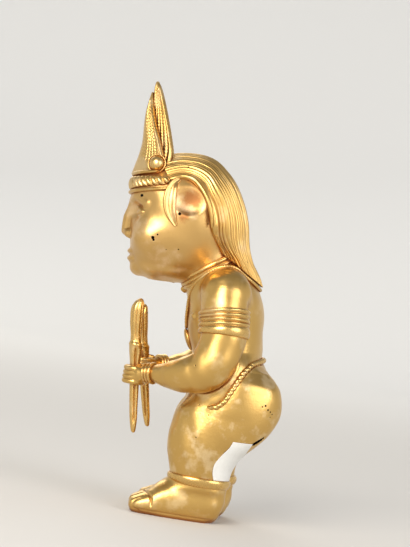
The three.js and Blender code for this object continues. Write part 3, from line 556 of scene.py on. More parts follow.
def cord_skin(
    route: Array, radius: float, sides: int, strands: int, turns: float, depth: float, looped: bool
) -> Skin:
    """A twisted cord along a route.

    Its section is a circle with one lobe for each strand, r (1 - depth + depth |cos(strands / 2 (a -
    lay))|), and the lay turns evenly along the route.

    Args:
        route: The points of its middle line.
        radius: Its radius over the strands.
        sides: Points of one ring.
        strands: How many strands are laid together.
        turns: How often they go round along the whole route.
        depth: How deep the valleys are, as a share of the radius.
        looped: Whether the route closes on itself.

    Returns:
        The surface.
    """
    step = np.roll(route, -1, 0) - np.roll(route, 1, 0) if looped else np.gradient(route, axis=0)
    forward = unit(step)
    outward = (route - TRUNK_MIDDLE) * LEVEL
    outward = unit(outward - forward * (outward * forward).sum(1, keepdims=True))
    other = np.cross(forward, outward)
    angle = around(sides)[None, :]
    length = np.arange(len(route))[:, None] / (len(route) if looped else len(route) - 1)
    lobe = np.abs(np.cos(strands / 2 * (angle - TAU * turns * length)))
    r = radius * (1 - depth + depth * lobe)
    rings = route[:, None] + r[..., None] * (
        outward[:, None] * np.cos(angle)[..., None] + other[:, None] * np.sin(angle)[..., None]
    )
    return Skin(rings, looped)


def smooth_route(points: Array, count: int, looped: bool = False) -> Array:
    """Evenly spaced points on a smooth curve through a few.

    Args:
        points: The few points.
        count: How many to give back.
        looped: Whether the curve closes on itself.

    Returns:
        The points.
    """
    wrapped = np.concatenate([points[-3:], points, points[:4]]) if looped else points
    knots = np.concatenate([[0], np.cumsum(np.linalg.norm(np.diff(wrapped, axis=0), axis=1))])
    low, high = (knots[3], knots[3 + len(points)]) if looped else (knots[0], knots[-1])
    at = np.linspace(low, high, count, endpoint=not looped)
    return eased(knots, wrapped, at)


def disc_skin(
    centre: tuple[float, float, float], axis: tuple[float, float, float], profile: Array, sides: int
) -> Skin:
    """A turned piece: a profile of radius and height carried round an axis.

    Args:
        centre: Where the axis meets height 0.
        axis: The way it points.
        profile: Rows of radius and height, from the underside to the top.
        sides: Points of one ring.

    Returns:
        The surface.
    """
    up = np.array(axis) / np.linalg.norm(axis)
    side = np.cross(up, [0, 0, 1.0])
    side /= np.linalg.norm(side)
    angle = around(sides)[None, :, None]
    ring = side * np.cos(angle) + np.cross(up, side) * np.sin(angle)
    return Skin(np.array(centre) + profile[:, None, :1] * ring + profile[:, None, 1:] * up)


# Finishes


def linear(hex_colour: str) -> tuple[float, float, float, float]:
    """Turns an sRGB colour to linear light.

    Args:
        hex_colour: A # and six hex digits.

    Returns:
        Red, green, blue and alpha.
    """
    raw = [int(hex_colour[i : i + 2], 16) / 255 for i in (1, 3, 5)]
    r, g, b = [c / 12.92 if c <= 0.04045 else ((c + 0.055) / 1.055) ** 2.4 for c in raw]
    return r, g, b, 1.0


def add(
    tree: bpy.types.NodeTree,
    kind: str,
    values: dict[str | int, object] | None = None,
    links: dict[str | int, bpy.types.NodeSocket] | None = None,
    **settings: object,
) -> bpy.types.Node:
    """Adds one node.

    Args:
        tree: The material's or world's tree.
        kind: The node's type name.
        values: Values of its inputs, by name or number.
        links: Sockets that feed its inputs, by name or number.
        **settings: Its other settings.

    Returns:
        The node.
    """
    made = tree.nodes.new(kind)
    for key, value in settings.items():
        setattr(made, key, value)
    for key, value in (values or {}).items():
        made.inputs[key].default_value = value
    for key, source in (links or {}).items():
        tree.links.new(source, made.inputs[key])
    return made


def blank_material(name: str) -> bpy.types.Material:
    """A new material with nodes and nothing in its tree.

    Args:
        name: Its name.

    Returns:
        The material.
    """
    made = bpy.data.materials.new(name)
    made.use_nodes = True
    made.node_tree.nodes.clear()
    return made


@dataclass(frozen=True)
class CastAlloy:
    """Lost-wax gold-copper alloy, surface-enriched by pickling and then burnished.

    The enriched skin gives a warm yellow mirror that blurs to satin; copper shows red-brown where the
    burnisher didn't reach, and that darker red-brown also follows ambient occlusion as painted shade in
    every hollow. Rubbed places are paler and dull. Casting left fine pits, painted near-black as shade.
    """

    name: str
    yellow: str = "#d2ab64"
    pale: str = "#e8cfa0"
    # copper red-brown of the hollows, also used as painted shade wherever ambient occlusion finds metal
    # near
    copper: str = "#ab7445"
    # near-black painted shade inside pits, pinholes and the slot
    pit: str = "#140c07"
    gloss: float = 0.31  # roughness of the burnished skin
    dull: float = 0.5  # roughness in the recesses and the rubbed places
    patch_mm: float = 7.0  # size of the rubbed patches
    grain_mm: float = 0.9  # dimples of the wax skin, drawn about twice as coarse as real ones
    grain_depth_mm: float = 0.05
    pit_spacing_mm: float = 3.2
    pit_share: float = 0.3  # share of the cells that have a pit
    pit_rim: tuple[float, float] = (0.09, 0.04)  # where its painted black shade begins and is full, as shares of the spacing
    pit_sink: float = 3.0  # how deep it is, as a number of dimples
    rub: float = 0.5  # how strongly the rubbed patches show
    rub_range: tuple[float, float] = (0.5, 0.68)  # the noise at which they begin and are full
    mottle: float = 0.16  # how much the roughness varies with the grain
    holes: tuple[tuple[float, float, float, float], ...] = ()  # painted black shade in pits, pinholes and slits: x, y, z, radius
    shade_spots: tuple[tuple[float, float, float, float], ...] = ()  # painted brown shade in hollows, likewise
    through: float = 0.15  # how fast a spot narrows on its way in, 1 for a ball
    hole_edge: tuple[float, float] = (0.75, 0.0)  # how sharp its edge is and how frayed
    shade_spot_edge: tuple[float, float] = (0.1, 1.6)  # likewise for a spot of painted shade
    fray_mm: float = 1 / 0.35  # size of the frays
    recess_mm: float = 2.4  # how near other metal lies where the burnisher can't reach and painted shade is laid
    recess_range: tuple[float, float] = (0.86, 0.25)  # the open share at which copper and painted shade begin and are full

    def spotted(
        self,
        spots: tuple[tuple[float, float, float, float], ...],
        edge: tuple[float, float],
        mask: bpy.types.NodeSocket,
        place: bpy.types.NodeSocket,
        ragged: bpy.types.NodeSocket,
    ) -> bpy.types.NodeSocket:
        """Adds spots to a mask.

        A spot is 1 less the smooth step of the distance to its centre plus the fray times a noise.

        Args:
            spots: The x, y, z and radius of each.
            edge: How sharp and how frayed its edge is, as shares of the radius.
            mask: The mask so far.
            place: The place, squashed across the figure.
            ragged: The noise.

        Returns:
            The larger of the mask and the spots.
        """
        sharp, fray = edge
        tree = mask.node.id_data
        for x, y, z, radius in spots:
            centre = Vector((x * self.through, y + DRAWN_TO_BOX[1], z))
            away = add(
                tree, "ShaderNodeVectorMath", {1: centre}, {0: place}, operation="DISTANCE"
            ).outputs["Value"]
            frayed = add(
                tree, "ShaderNodeMath", {1: fray * radius}, {0: ragged, 2: away}, operation="MULTIPLY_ADD"
            ).outputs["Value"]
            rim = radius * (1 + fray / 2)
            spot = add(
                tree, "ShaderNodeMapRange",
                {"From Min": rim, "From Max": rim - (1 - sharp) * radius}, {"Value": frayed},
                interpolation_type="SMOOTHSTEP",
            ).outputs["Result"]
            mask = add(
                tree, "ShaderNodeMath", links={0: mask, 1: spot}, operation="MAXIMUM"
            ).outputs["Value"]
        return mask

    def make(self) -> bpy.types.Material:
        """Builds the material.

        Returns:
            The material.
        """
        made = blank_material(self.name)
        tree = made.node_tree
        where = add(tree, "ShaderNodeTexCoord").outputs["Object"]
        mm = add(
            tree, "ShaderNodeMapping", {"Scale": (1000, 1000, 1000)}, {"Vector": where}
        ).outputs["Vector"]
        squashed = add(
            tree, "ShaderNodeVectorMath", {1: (self.through, 1, 1)}, {0: mm}, operation="MULTIPLY"
        ).outputs["Vector"]
        patches = add(
            tree, "ShaderNodeTexNoise",
            {"Scale": 1 / self.patch_mm, "Detail": 5.0, "Roughness": 0.6}, {"Vector": mm},
        ).outputs["Fac"]
        rubbed = add(
            tree, "ShaderNodeMapRange",
            {"From Min": self.rub_range[0], "From Max": self.rub_range[1], "To Max": self.rub},
            {"Value": patches},
            interpolation_type="SMOOTHSTEP",
        ).outputs["Result"]
        # Painted shade, partly real copper: the colour turns to copper red-brown where ambient occlusion
        # finds metal near, in every hollow and between parts
        open_sky = add(
            tree, "ShaderNodeAmbientOcclusion", {"Distance": self.recess_mm * MM}, samples=16
        ).outputs["AO"]
        copper_and_shade = add(
            tree, "ShaderNodeMapRange",
            {"From Min": self.recess_range[0], "From Max": self.recess_range[1]},
            {"Value": open_sky},
            interpolation_type="SMOOTHSTEP",
        ).outputs["Result"]
        grain = add(
            tree, "ShaderNodeTexNoise",
            {"Scale": 1 / self.grain_mm, "Detail": 4.0, "Roughness": 0.65}, {"Vector": mm},
        ).outputs["Fac"]
        cells = add(
            tree, "ShaderNodeTexVoronoi", {"Scale": 1 / self.pit_spacing_mm}, {"Vector": mm}
        )
        chosen = add(
            tree, "ShaderNodeSeparateColor", links={"Color": cells.outputs["Color"]}
        ).outputs["Red"]
        has_pit = add(
            tree, "ShaderNodeMath", {1: self.pit_share}, {0: chosen}, operation="LESS_THAN"
        ).outputs["Value"]
        near = add(
            tree, "ShaderNodeMapRange", {"From Min": self.pit_rim[0], "From Max": self.pit_rim[1]},
            {"Value": cells.outputs["Distance"]},
        ).outputs["Result"]
        pitted = add(
            tree, "ShaderNodeMath", links={0: near, 1: has_pit}, operation="MULTIPLY"
        ).outputs["Value"]
        ragged = add(
            tree, "ShaderNodeTexNoise",
            {"Scale": 1 / self.fray_mm, "Detail": 6.0, "Roughness": 0.7}, {"Vector": mm},
        ).outputs["Fac"]
        # Painted shade: the listed pinholes and slits are painted black like the pits
        pitted = self.spotted(self.holes, self.hole_edge, pitted, squashed, ragged)
        # Painted shade: brown spots at the listed places, such as the hollows about the ears, join the
        # copper mask
        copper_and_shade = self.spotted(self.shade_spots, self.shade_spot_edge, copper_and_shade, squashed, ragged)
        tone = add(
            tree, "ShaderNodeMix", {MIX_A: linear(self.yellow), MIX_B: linear(self.pale)},
            {"Factor": rubbed}, data_type="RGBA",
        ).outputs[MIXED]
        # Painted shade and copper: the tone darkens to copper red-brown by the occlusion mask
        copper_and_shade_tone = add(
            tree, "ShaderNodeMix", {MIX_B: linear(self.copper)}, {"Factor": copper_and_shade, MIX_A: tone},
            data_type="RGBA",
        ).outputs[MIXED]
        # Painted shade: near-black in the pits and pinholes
        colour = add(
            tree, "ShaderNodeMix", {MIX_B: linear(self.pit)}, {"Factor": pitted, MIX_A: copper_and_shade_tone},
            data_type="RGBA",
        ).outputs[MIXED]
        hazy = add(
            tree, "ShaderNodeMath", links={0: rubbed, 1: copper_and_shade}, operation="MAXIMUM"
        ).outputs["Value"]
        rough = add(
            tree, "ShaderNodeMapRange",
            {"To Min": self.gloss, "To Max": self.dull}, {"Value": hazy},
        ).outputs["Result"]
        uneven = add(
            tree, "ShaderNodeMath", {1: self.mottle, 2: -self.mottle / 2}, {0: grain},
            operation="MULTIPLY_ADD",
        ).outputs["Value"]
        roughness = add(
            tree, "ShaderNodeMath", links={0: rough, 1: uneven}, operation="ADD"
        ).outputs["Value"]
        sunk = add(
            tree, "ShaderNodeMath", {1: -self.pit_sink}, {0: pitted, 2: grain},
            operation="MULTIPLY_ADD",
        ).outputs["Value"]
        bump = add(
            tree, "ShaderNodeBump",
            {"Strength": 0.55, "Distance": self.grain_depth_mm * MM}, {"Height": sunk},
        ).outputs["Normal"]
        shader = add(
            tree, "ShaderNodeBsdfPrincipled", {"Metallic": 1.0},
            {"Base Color": colour, "Roughness": roughness, "Normal": bump},
        )
        add(tree, "ShaderNodeOutputMaterial", links={"Surface": shader.outputs["BSDF"]})
        return made


@dataclass(frozen=True)
class PlainFinish:
    """A dull non-metal with uneven tone and a fine tooth.

    Fired casting clay is black-brown and chalky; sticker paper is white with a soft fibre.
    """

    name: str
    light: str
    dark: str
    grain_mm: float
    rough: float
    tooth_mm: float

    def make(self) -> bpy.types.Material:
        """Builds the material.

        Returns:
            The material.
        """
        made = blank_material(self.name)
        tree = made.node_tree
        where = add(tree, "ShaderNodeTexCoord").outputs["Object"]
        mm = add(
            tree, "ShaderNodeMapping", {"Scale": (1000, 1000, 1000)}, {"Vector": where}
        ).outputs["Vector"]
        grain = add(
            tree, "ShaderNodeTexNoise", {"Scale": 1 / self.grain_mm, "Detail": 6.0}, {"Vector": mm}
        ).outputs["Fac"]
        colour = add(
            tree, "ShaderNodeMix", {MIX_A: linear(self.light), MIX_B: linear(self.dark)},
            {"Factor": grain}, data_type="RGBA",
        ).outputs[MIXED]
        bump = add(
            tree, "ShaderNodeBump", {"Strength": 0.5, "Distance": self.tooth_mm * MM},
            {"Height": grain},
        ).outputs["Normal"]
        shader = add(
            tree, "ShaderNodeBsdfPrincipled", {"Roughness": self.rough},
            {"Base Color": colour, "Normal": bump},
        )
        add(tree, "ShaderNodeOutputMaterial", links={"Surface": shader.outputs["BSDF"]})
        return made


@dataclass(frozen=True)
class StudioCard:
    """Matt painted card: dull and even, greyer under the lamps so that floor and wall look alike."""

    near: str = "#cbc8c3"
    far: str = "#fbfaf7"
    reach: tuple[float, float] = (0.25, 1.7)  # where it begins and ends to pale, in metres
    rough: float = 0.9

    def make(self) -> bpy.types.Material:
        """Builds the material.

        Returns:
            The material.
        """
        made = blank_material("matt_painted_card")
        tree = made.node_tree
        where = add(tree, "ShaderNodeTexCoord").outputs["Object"]
        away = add(
            tree, "ShaderNodeVectorMath", links={0: where}, operation="LENGTH"
        ).outputs["Value"]
        share = add(
            tree, "ShaderNodeMapRange",
            {"From Min": self.reach[0], "From Max": self.reach[1]}, {"Value": away},
            interpolation_type="SMOOTHSTEP",
        ).outputs["Result"]
        colour = add(
            tree, "ShaderNodeMix", {MIX_A: linear(self.near), MIX_B: linear(self.far)},
            {"Factor": share}, data_type="RGBA",
        ).outputs[MIXED]
        shader = add(
            tree, "ShaderNodeBsdfPrincipled", {"Roughness": self.rough},
            {"Base Color": colour},
        )
        add(tree, "ShaderNodeOutputMaterial", links={"Surface": shader.outputs["BSDF"]})
        return made


@dataclass
class Finishes:
    """The finishes that the pieces share."""

    # Burnished all over: a warm satin mirror with a few pits.
    body: bpy.types.Material = field(
        default_factory=lambda: CastAlloy("burnished_lost_wax_gold_copper_alloy").make()
    )
    # Rubbed by hands, so it is brighter and smoother on cords, bands, ribs and staves.
    relief: bpy.types.Material = field(
        default_factory=lambda: CastAlloy(
            "rubbed_bright_gold_copper_relief", yellow="#d9b36e", pale="#ecd5aa", gloss=0.27,
            grain_mm=0.8, grain_depth_mm=0.02, pit_share=0.12, mottle=0.05,
        ).make()
    )
    # Less burnished: paler and softer, with pits on brow and cheek and the ear's opening painted black as
    # shade, and brown painted shade in the hollows about the ears and on the side of the neck.
    head: bpy.types.Material = field(
        default_factory=lambda: CastAlloy(
            "satin_lost_wax_gold_copper_alloy", yellow="#d5ad6c", pale="#ebcda2", gloss=0.33,
            rub=0.75, patch_mm=9.0, pit_share=0.16,
            holes=(
                (9.64, -36.45, 90.2, 0.5), (14.2, -31.2, 78.6, 0.55), (14.1, -30.9, 78.0, 0.4),
                (14.2, -30.0, 79.7, 0.28), (14.57, -24.7, 86.6, 0.55),
            ),
            shade_spots=((13.0, -21.8, 91.2, 5.4), (12.0, -23.4, 86.2, 2.6), (9.0, -9.0, 74.5, 4.0)),
        ).make()
    )
    # Pitted as it came from the mould: a closer, deeper grain, pale worn patches, specks and a slot, the
    # specks and the slot painted black as shade.
    legs: bpy.types.Material = field(
        default_factory=lambda: CastAlloy(
            "pitted_lost_wax_gold_copper_alloy", grain_mm=0.7, grain_depth_mm=0.085,
            pit_spacing_mm=2.4, pit_share=0.4, rub=0.75, patch_mm=5.0,
            holes=(
                (16.14, 8.6, 36.4, 0.32), (16.57, 7.7, 36.0, 0.24), (15.72, 9.5, 35.3, 0.28),
                (15.2, 10.3, 34.8, 0.24), (14.69, 10.9, 34.2, 0.22), (14.32, 6.7, 24.6, 0.5),
                (14.04, 7.2, 24.95, 0.62), (13.83, 7.8, 25.4, 0.66), (13.6, 8.4, 25.9, 0.66),
                (13.33, 9.0, 26.4, 0.62), (13.05, 9.6, 26.9, 0.5),
            ),
            through=0.7,
        ).make()
    )
    # Fired clay and charcoal: black-brown, chalky and rough.
    clay: bpy.types.Material = field(
        default_factory=lambda: PlainFinish(
            "fired_clay_casting_core", "#3a3029", "#17120e", 1.2, 0.95, 0.12
        ).make()
    )
    # Coated sticker paper: white, with a faint fibre.
    paper: bpy.types.Material = field(
        default_factory=lambda: PlainFinish(
            "white_sticker_paper", "#dfdfdb", "#d2d2cd", 0.8, 0.8, 0.02
        ).make()
    )


# The figure's forms


def on_left(p: Array) -> Array:
    """Points folded over to the left side, for forms that are alike on both."""
    return np.concatenate([np.abs(p[..., :1]), p[..., 1:]], -1)


@dataclass
class Body:
    """The forms that several pieces share, and the lines at which the casting is drawn apart."""

    trunk: LevelForm = LevelForm(
        (
            (30.5, -11.0, 3.0, 11.0), (34.0, -13.0, 5.5, 14.2), (38.0, -13.7, 7.0, 15.4),
            (43.0, -14.0, 6.6, 15.0), (48.0, -14.8, 5.5, 14.0), (52.0, -16.4, 5.5, 13.6),
            (56.0, -17.4, 4.9, 13.9), (61.0, -17.9, 4.4, 14.4), (65.5, -18.2, 3.2, 14.2),
            (69.0, -18.0, 1.4, 12.6), (72.5, -16.6, -1.6, 9.8), (75.5, -14.0, -4.4, 6.0),
        ),
        power=2.3,
    )
    hips: LevelForm = LevelForm((
        (25.0, -6.0, 3.0, 5.0), (27.5, -11.0, 8.0, 11.0), (31.0, -13.5, 10.8, 16.0),
        (35.0, -14.0, 11.6, 17.4), (39.0, -12.4, 11.4, 17.6), (42.5, -10.4, 10.2, 16.9),
        (45.5, -9.0, 7.8, 15.7), (48.5, -8.0, 5.4, 13.9), (50.5, -7.0, 4.0, 11.5),
    ))
    head: LevelForm = LevelForm(
        (
            (66.7, -31.0, -23.4, 3.6), (68.0, -34.0, -19.2, 7.0), (71.5, -36.6, -15.2, 10.4),
            (77.0, -38.0, -11.8, 13.2), (83.0, -38.8, -8.8, 14.4), (88.0, -39.5, -7.8, 14.6),
            (93.0, -39.9, -9.0, 13.9), (97.0, -38.9, -11.6, 12.0), (100.5, -35.4, -15.0, 9.0),
            (102.7, -31.5, -18.6, 5.4), (103.4, -28.0, -21.8, 2.4),
        ),
        power=2.2,
    )
    neck: SweptForm = field(default_factory=lambda: SweptForm([
        (0, -8.5, 66.5, 9.4, 9.0), (0, -12.5, 72.4, 9.4, 9.6),
        (0, -17.0, 78.5, 10.0, 10.0), (0, -21.0, 84.0, 10.5, 10.5),
    ]))
    arm_rows: tuple[tuple[float, ...], ...] = (
        (7.0, -7.8, 73.0, 1.2, 1.6), (13.4, -7.8, 68.0, 6.2, 6.9), (16.2, -7.8, 63.4, 6.3, 6.7),
        (17.4, -7.0, 58.0, 5.9, 6.5), (18.2, -6.7, 52.0, 5.6, 6.5), (18.6, -9.4, 44.4, 5.4, 6.3),
        (16.2, -15.6, 41.4, 4.8, 5.2), (12.9, -20.6, 40.4, 3.7, 3.7), (10.4, -25.0, 40.0, 2.5, 2.3),
        (8.6, -28.4, 39.4, 2.2, 2.0),
    )
    elbow_row: int = 4
    right_wrist_shift: tuple[float, float] = (2.8, 2.4)  # back and up, growing from the elbow on
    leg_rows: tuple[tuple[float, float, float, float], ...] = (
        (9.6, -14.4, 1.4, 6.2), (12.0, -15.2, 1.7, 6.7), (16.0, -16.3, 2.3, 7.5),
        (20.0, -17.3, 4.4, 8.2), (24.0, -17.6, 8.2, 8.7), (28.0, -17.0, 11.4, 8.9),
        (32.0, -15.8, 13.1, 8.8), (35.5, -13.2, 13.6, 8.5), (38.6, -9.8, 13.2, 7.8),
        (42.0, -5.0, 11.6, 6.4), (45.0, 0.5, 8.4, 3.0),
    )
    foot_rows: tuple[tuple[float, float, float, float], ...] = (
        (1.5, 4.9, 1.0, 1.2), (0.9, 5.0, 3.0, 3.4), (-0.6, 5.2, 4.6, 5.2), (-3.0, 5.5, 5.5, 6.5),
        (-6.5, 5.4, 5.9, 7.2), (-11.0, 4.8, 6.2, 7.2),
        (-15.4, 4.0, 6.4, 6.3), (-19.4, 3.0, 6.5, 4.4), (-22.8, 2.4, 6.2, 3.2),
        (-24.8, 2.2, 5.2, 2.4), (-25.6, 2.1, 3.6, 1.4),
    )
    leg_x: float = 9.4
    right_foot_back: float = 2.2
    knee_z: float = 26.0
    ankle_z: float = 11.4
    armband_span: tuple[float, float] = (0.27, 0.41)  # shares of the way down the arm
    bracelet_span: tuple[float, float] = (0.87, 0.955)
    anklet_levels: tuple[float, float] = (10.2, 12.9)
    belt_line: tuple[tuple[float, float], ...] = (  # y and z, from the front to the back
        (-30.0, 32.6), (-9.0, 33.0), (-5.4, 34.0), (-3.3, 35.8), (-1.1, 39.7), (1.8, 44.8),
        (4.0, 47.2), (7.2, 48.6), (24.0, 49.6),
    )

    def arm(self, side: Side) -> SweptForm:
        """An arm, drawn on the left; the right one is held a little higher and nearer the chest.

        Args:
            side: Which side.

        Returns:
            Its form, on the left in both cases.
        """
        rows = np.array(self.arm_rows)
        if side is Side.RIGHT:
            past_elbow = np.arange(len(rows)) - self.elbow_row
            share = np.clip(past_elbow / past_elbow[-1], 0, 1)
            rows[:, 1] += self.right_wrist_shift[0] * share
            rows[:, 2] += self.right_wrist_shift[1] * share
        return SweptForm(rows)

    def leg(self, side: Side) -> LevelForm:
        """A leg, drawn on the left; the right shin leans back to its foot from the knee down.

        Args:
            side: Which side.

        Returns:
            Its form, on the left in both cases.
        """
        back = self.right_foot_back if side is Side.RIGHT else 0.0
        rows = []
        for z, front, rear, wide in self.leg_rows:
            shift = back * min(max((self.knee_z - z) / (self.knee_z - self.ankle_z), 0), 1)
            rows.append((z, front + shift, rear + shift, wide))
        return LevelForm(tuple(rows), power=2.1, x=self.leg_x)

    def foot(self, side: Side) -> SweptForm:
        """A foot from heel to toes, drawn on the left."""
        back = self.right_foot_back if side is Side.RIGHT else 0.0
        return SweptForm(
            [(self.leg_x, y + back, z, wide, deep) for y, z, wide, deep in self.foot_rows], power=2.3
        )

    def above_belt(self, p: Array) -> Array:
        """How far points lie above the line where trunk and legs meet, seen from the side.

        Args:
            p: Points.

        Returns:
            The distance to the line, below 0 under it.
        """
        table = np.array(self.belt_line)
        slope = np.interp(p[..., 1], table[:, 0], np.gradient(table[:, 1], table[:, 0]))
        height = np.interp(p[..., 1], table[:, 0], table[:, 1])
        return (p[..., 2] - height) / np.sqrt(1 + slope**2)

    def above_collar(self, p: Array) -> Array:
        """How far points lie on the head's side of the slanting plane through the collar."""
        spot = self.neck.at(np.array(1 / 3))
        return (p - spot["centre"]) @ spot["forward"]

    def lower(self, p: Array) -> Array:
        """Trunk and hips in one, without the legs."""
        return joined(self.trunk.distance(p), self.hips.distance(p), 3.0)


@dataclass
class Torso:
    """Chest, belly and shoulders down to the armbands, above the belt."""

    body: Body
    nipple: tuple[float, float, float] = (8.6, 58.2, 0.9)
    arm_end: float = 0.345
    fillet: float = 3.2
    groove: tuple[float, float] = (0.45, 1.1)  # depth and height of the hollow over the belt

    def trunk(self, p: Array) -> Array:
        """The trunk with the root of the neck and the upper hips, cut at collar and belt.

        Args:
            p: Points.

        Returns:
            The distance at each, below 0 inside.
        """
        body = self.body
        own = joined(joined(body.lower(p), body.neck.distance(p), 3.0), self.thighs(p), 3.0)
        x, z, radius = self.nipple
        middle, deep, wide = body.trunk.sizes(np.array(z))
        y = float(middle - deep * (1 - (x / wide) ** 2.3) ** (1 / 2.3)) + 0.4
        own = joined(own, egg(on_left(p), (x, y, z), (radius, radius, radius)), 0.5)
        over = body.above_belt(p)
        depth = self.groove[0] * smooth_step(p[..., 1], -9.5, -6.0)
        own = own + depth * pulse(over, self.groove[1])
        # It lies 0.06 mm over the legs' skin above the belt, and sinks under it below
        own = own - 0.06 + 0.14 * smooth_step(-over, 0.3, 2.4)
        return np.maximum(np.maximum(own, -over - 2.6), body.above_collar(p))

    def thighs(self, p: Array) -> Array:
        """Both thighs, which run up into the hips."""
        return self.body.leg(Side.LEFT).distance(on_left(p))

    def skins(self) -> list[Skin]:
        """The trunk as rays from its middle line, and a shoulder on each side of it.

        Returns:
            The three surfaces.
        """
        body = self.body
        z = np.linspace(30.2, 64.0, 140)
        middle = body.trunk.sizes(z)[0]
        y = np.where(z < 48, -10 + (middle + 10) * smooth_step(z, 36, 48), middle)
        arm = body.arm(Side.LEFT)

        def field_of(p: Array) -> Array:
            """The trunk, swollen towards the arms."""
            return filleted(self.trunk(p), arm.distance(on_left(p)), self.fillet)

        skins = [Skin(capsule(upright(0, y, z), around(288), (0, 60)).cast(field_of, 32, 30))]
        for side in Side:
            form = body.arm(side)
            line = form.at(np.linspace(0, self.arm_end, 90))

            def shoulder(p: Array, form: SweptForm = form) -> Array:
                """The upper arm, swollen towards the trunk."""
                return filleted(form.distance(p), self.trunk(p), self.fillet)

            points = capsule(line, around(150), (0, 0)).cast(shoulder, 12, 16)
            skins.append(Skin(points).mirrored(side))
        return skins


@dataclass
class Arm:
    """An arm from the armband over the elbow to the wrist."""

    body: Body
    side: Side
    span: tuple[float, float] = (0.335, 0.945)
    fillet: float = 2.0

    def skin(self) -> Skin:
        """Rays square to the arm's middle line.

        Returns:
            The surface.
        """
        form = self.body.arm(self.side)
        leg = self.body.leg(self.side)

        def field_of(p: Array) -> Array:
            """The arm, swollen a little where it touches the trunk and the hips."""
            near = np.minimum(self.body.lower(p), leg.distance(p))
            return filleted(form.distance(p), near, self.fillet)

        line = form.at(np.linspace(*self.span, 220))
        points = capsule(line, around(140), (0, 0)).cast(field_of, 11, 16)
        return Skin(points).mirrored(self.side)


class BandProfile(Enum):
    """How a band round a limb is modelled along its length, with t from 0 to 1 down the limb."""

    ARMBAND = "four cords and a wide hem"
    BRACELET = "three cords"
    COLLAR = "three fine cords"
    ANKLET = "one round roll"

    def height(self, t: Array, rise: float) -> Array:
        """The band's height over the limb.

        Args:
            t: Place along the band.
            rise: Height of its ridges.

        Returns:
            The height at each place.
        """
        if self is BandProfile.ARMBAND:
            hem = 0.66
            cords = np.abs(np.sin(math.pi * 4 * t / hem)) ** 0.7
            wide = np.sin(math.pi * np.clip((t - hem) / (1 - hem), 0, 1)) ** 0.5
            shape = np.where(t < hem, 0.42 + 0.48 * cords, 0.42 + 0.58 * wide)
        elif self is BandProfile.BRACELET:
            shape = 0.45 + 0.55 * np.abs(np.sin(math.pi * 3 * t)) ** 0.7
        elif self is BandProfile.COLLAR:
            shape = 0.5 + 0.5 * np.abs(np.sin(math.pi * 3 * t)) ** 0.7
        else:
            shape = 0.35 + 0.65 * np.sin(math.pi * t) ** 0.6
        return rise * shape * rounded(np.minimum(t, 1 - t) / 0.04)


@dataclass
class LimbBand:
    """A cast band round a limb or the neck."""

    line: dict[str, Array]
    distance: Distance
    profile: BandProfile
    rise: float
    far: float  # how far out from the line its surface is looked for
    columns: int = 160
    tuck: float = 0.6  # how far the edges go in below the limb

    def skin(self) -> Skin:
        """The limb's own surface, raised by the profile, and turned in below it at both edges.

        Returns:
            The surface.
        """
        rays = capsule(self.line, around(self.columns), (0, 0))
        reach = rays.reach(self.distance, self.far, 18)
        t = np.linspace(0, 1, len(reach))[:, None]
        reach = reach + self.profile.height(t, self.rise)
        inner = np.stack([reach[0], reach[-1]]) - self.tuck
        reach = np.concatenate([inner[:1], reach, inner[1:]])
        start = np.concatenate([rays.start[:1], rays.start, rays.start[-1:]])
        way = np.concatenate([rays.way[:1], rays.way, rays.way[-1:]])
        return Skin(start + reach[..., None] * way)


@dataclass(frozen=True)
class Feature:
    """An egg, or a round cord, that is blended on to the head or cut out of it."""

    points: tuple[tuple[float, float, float], ...]  # the egg's centre, or the cord's route
    size: tuple[float, float, float] | float  # the egg's half sizes, or the cord's radius
    blend: float
    sunk: bool = False  # cut out
    paired: bool = True  # alike on both sides

    def on(self, own: Array, p: Array) -> Array:
        """Blends the form on to the head, or cuts it out.

        Args:
            own: The head's distance so far.
            p: Points, folded over to the left side.

        Returns:
            The new distance.
        """
        round_cord = isinstance(self.size, float)
        form = tube(p, self.points, self.size) if round_cord else egg(p, self.points[0], self.size)
        return cut(own, form, self.blend) if self.sunk else joined(own, form, self.blend)


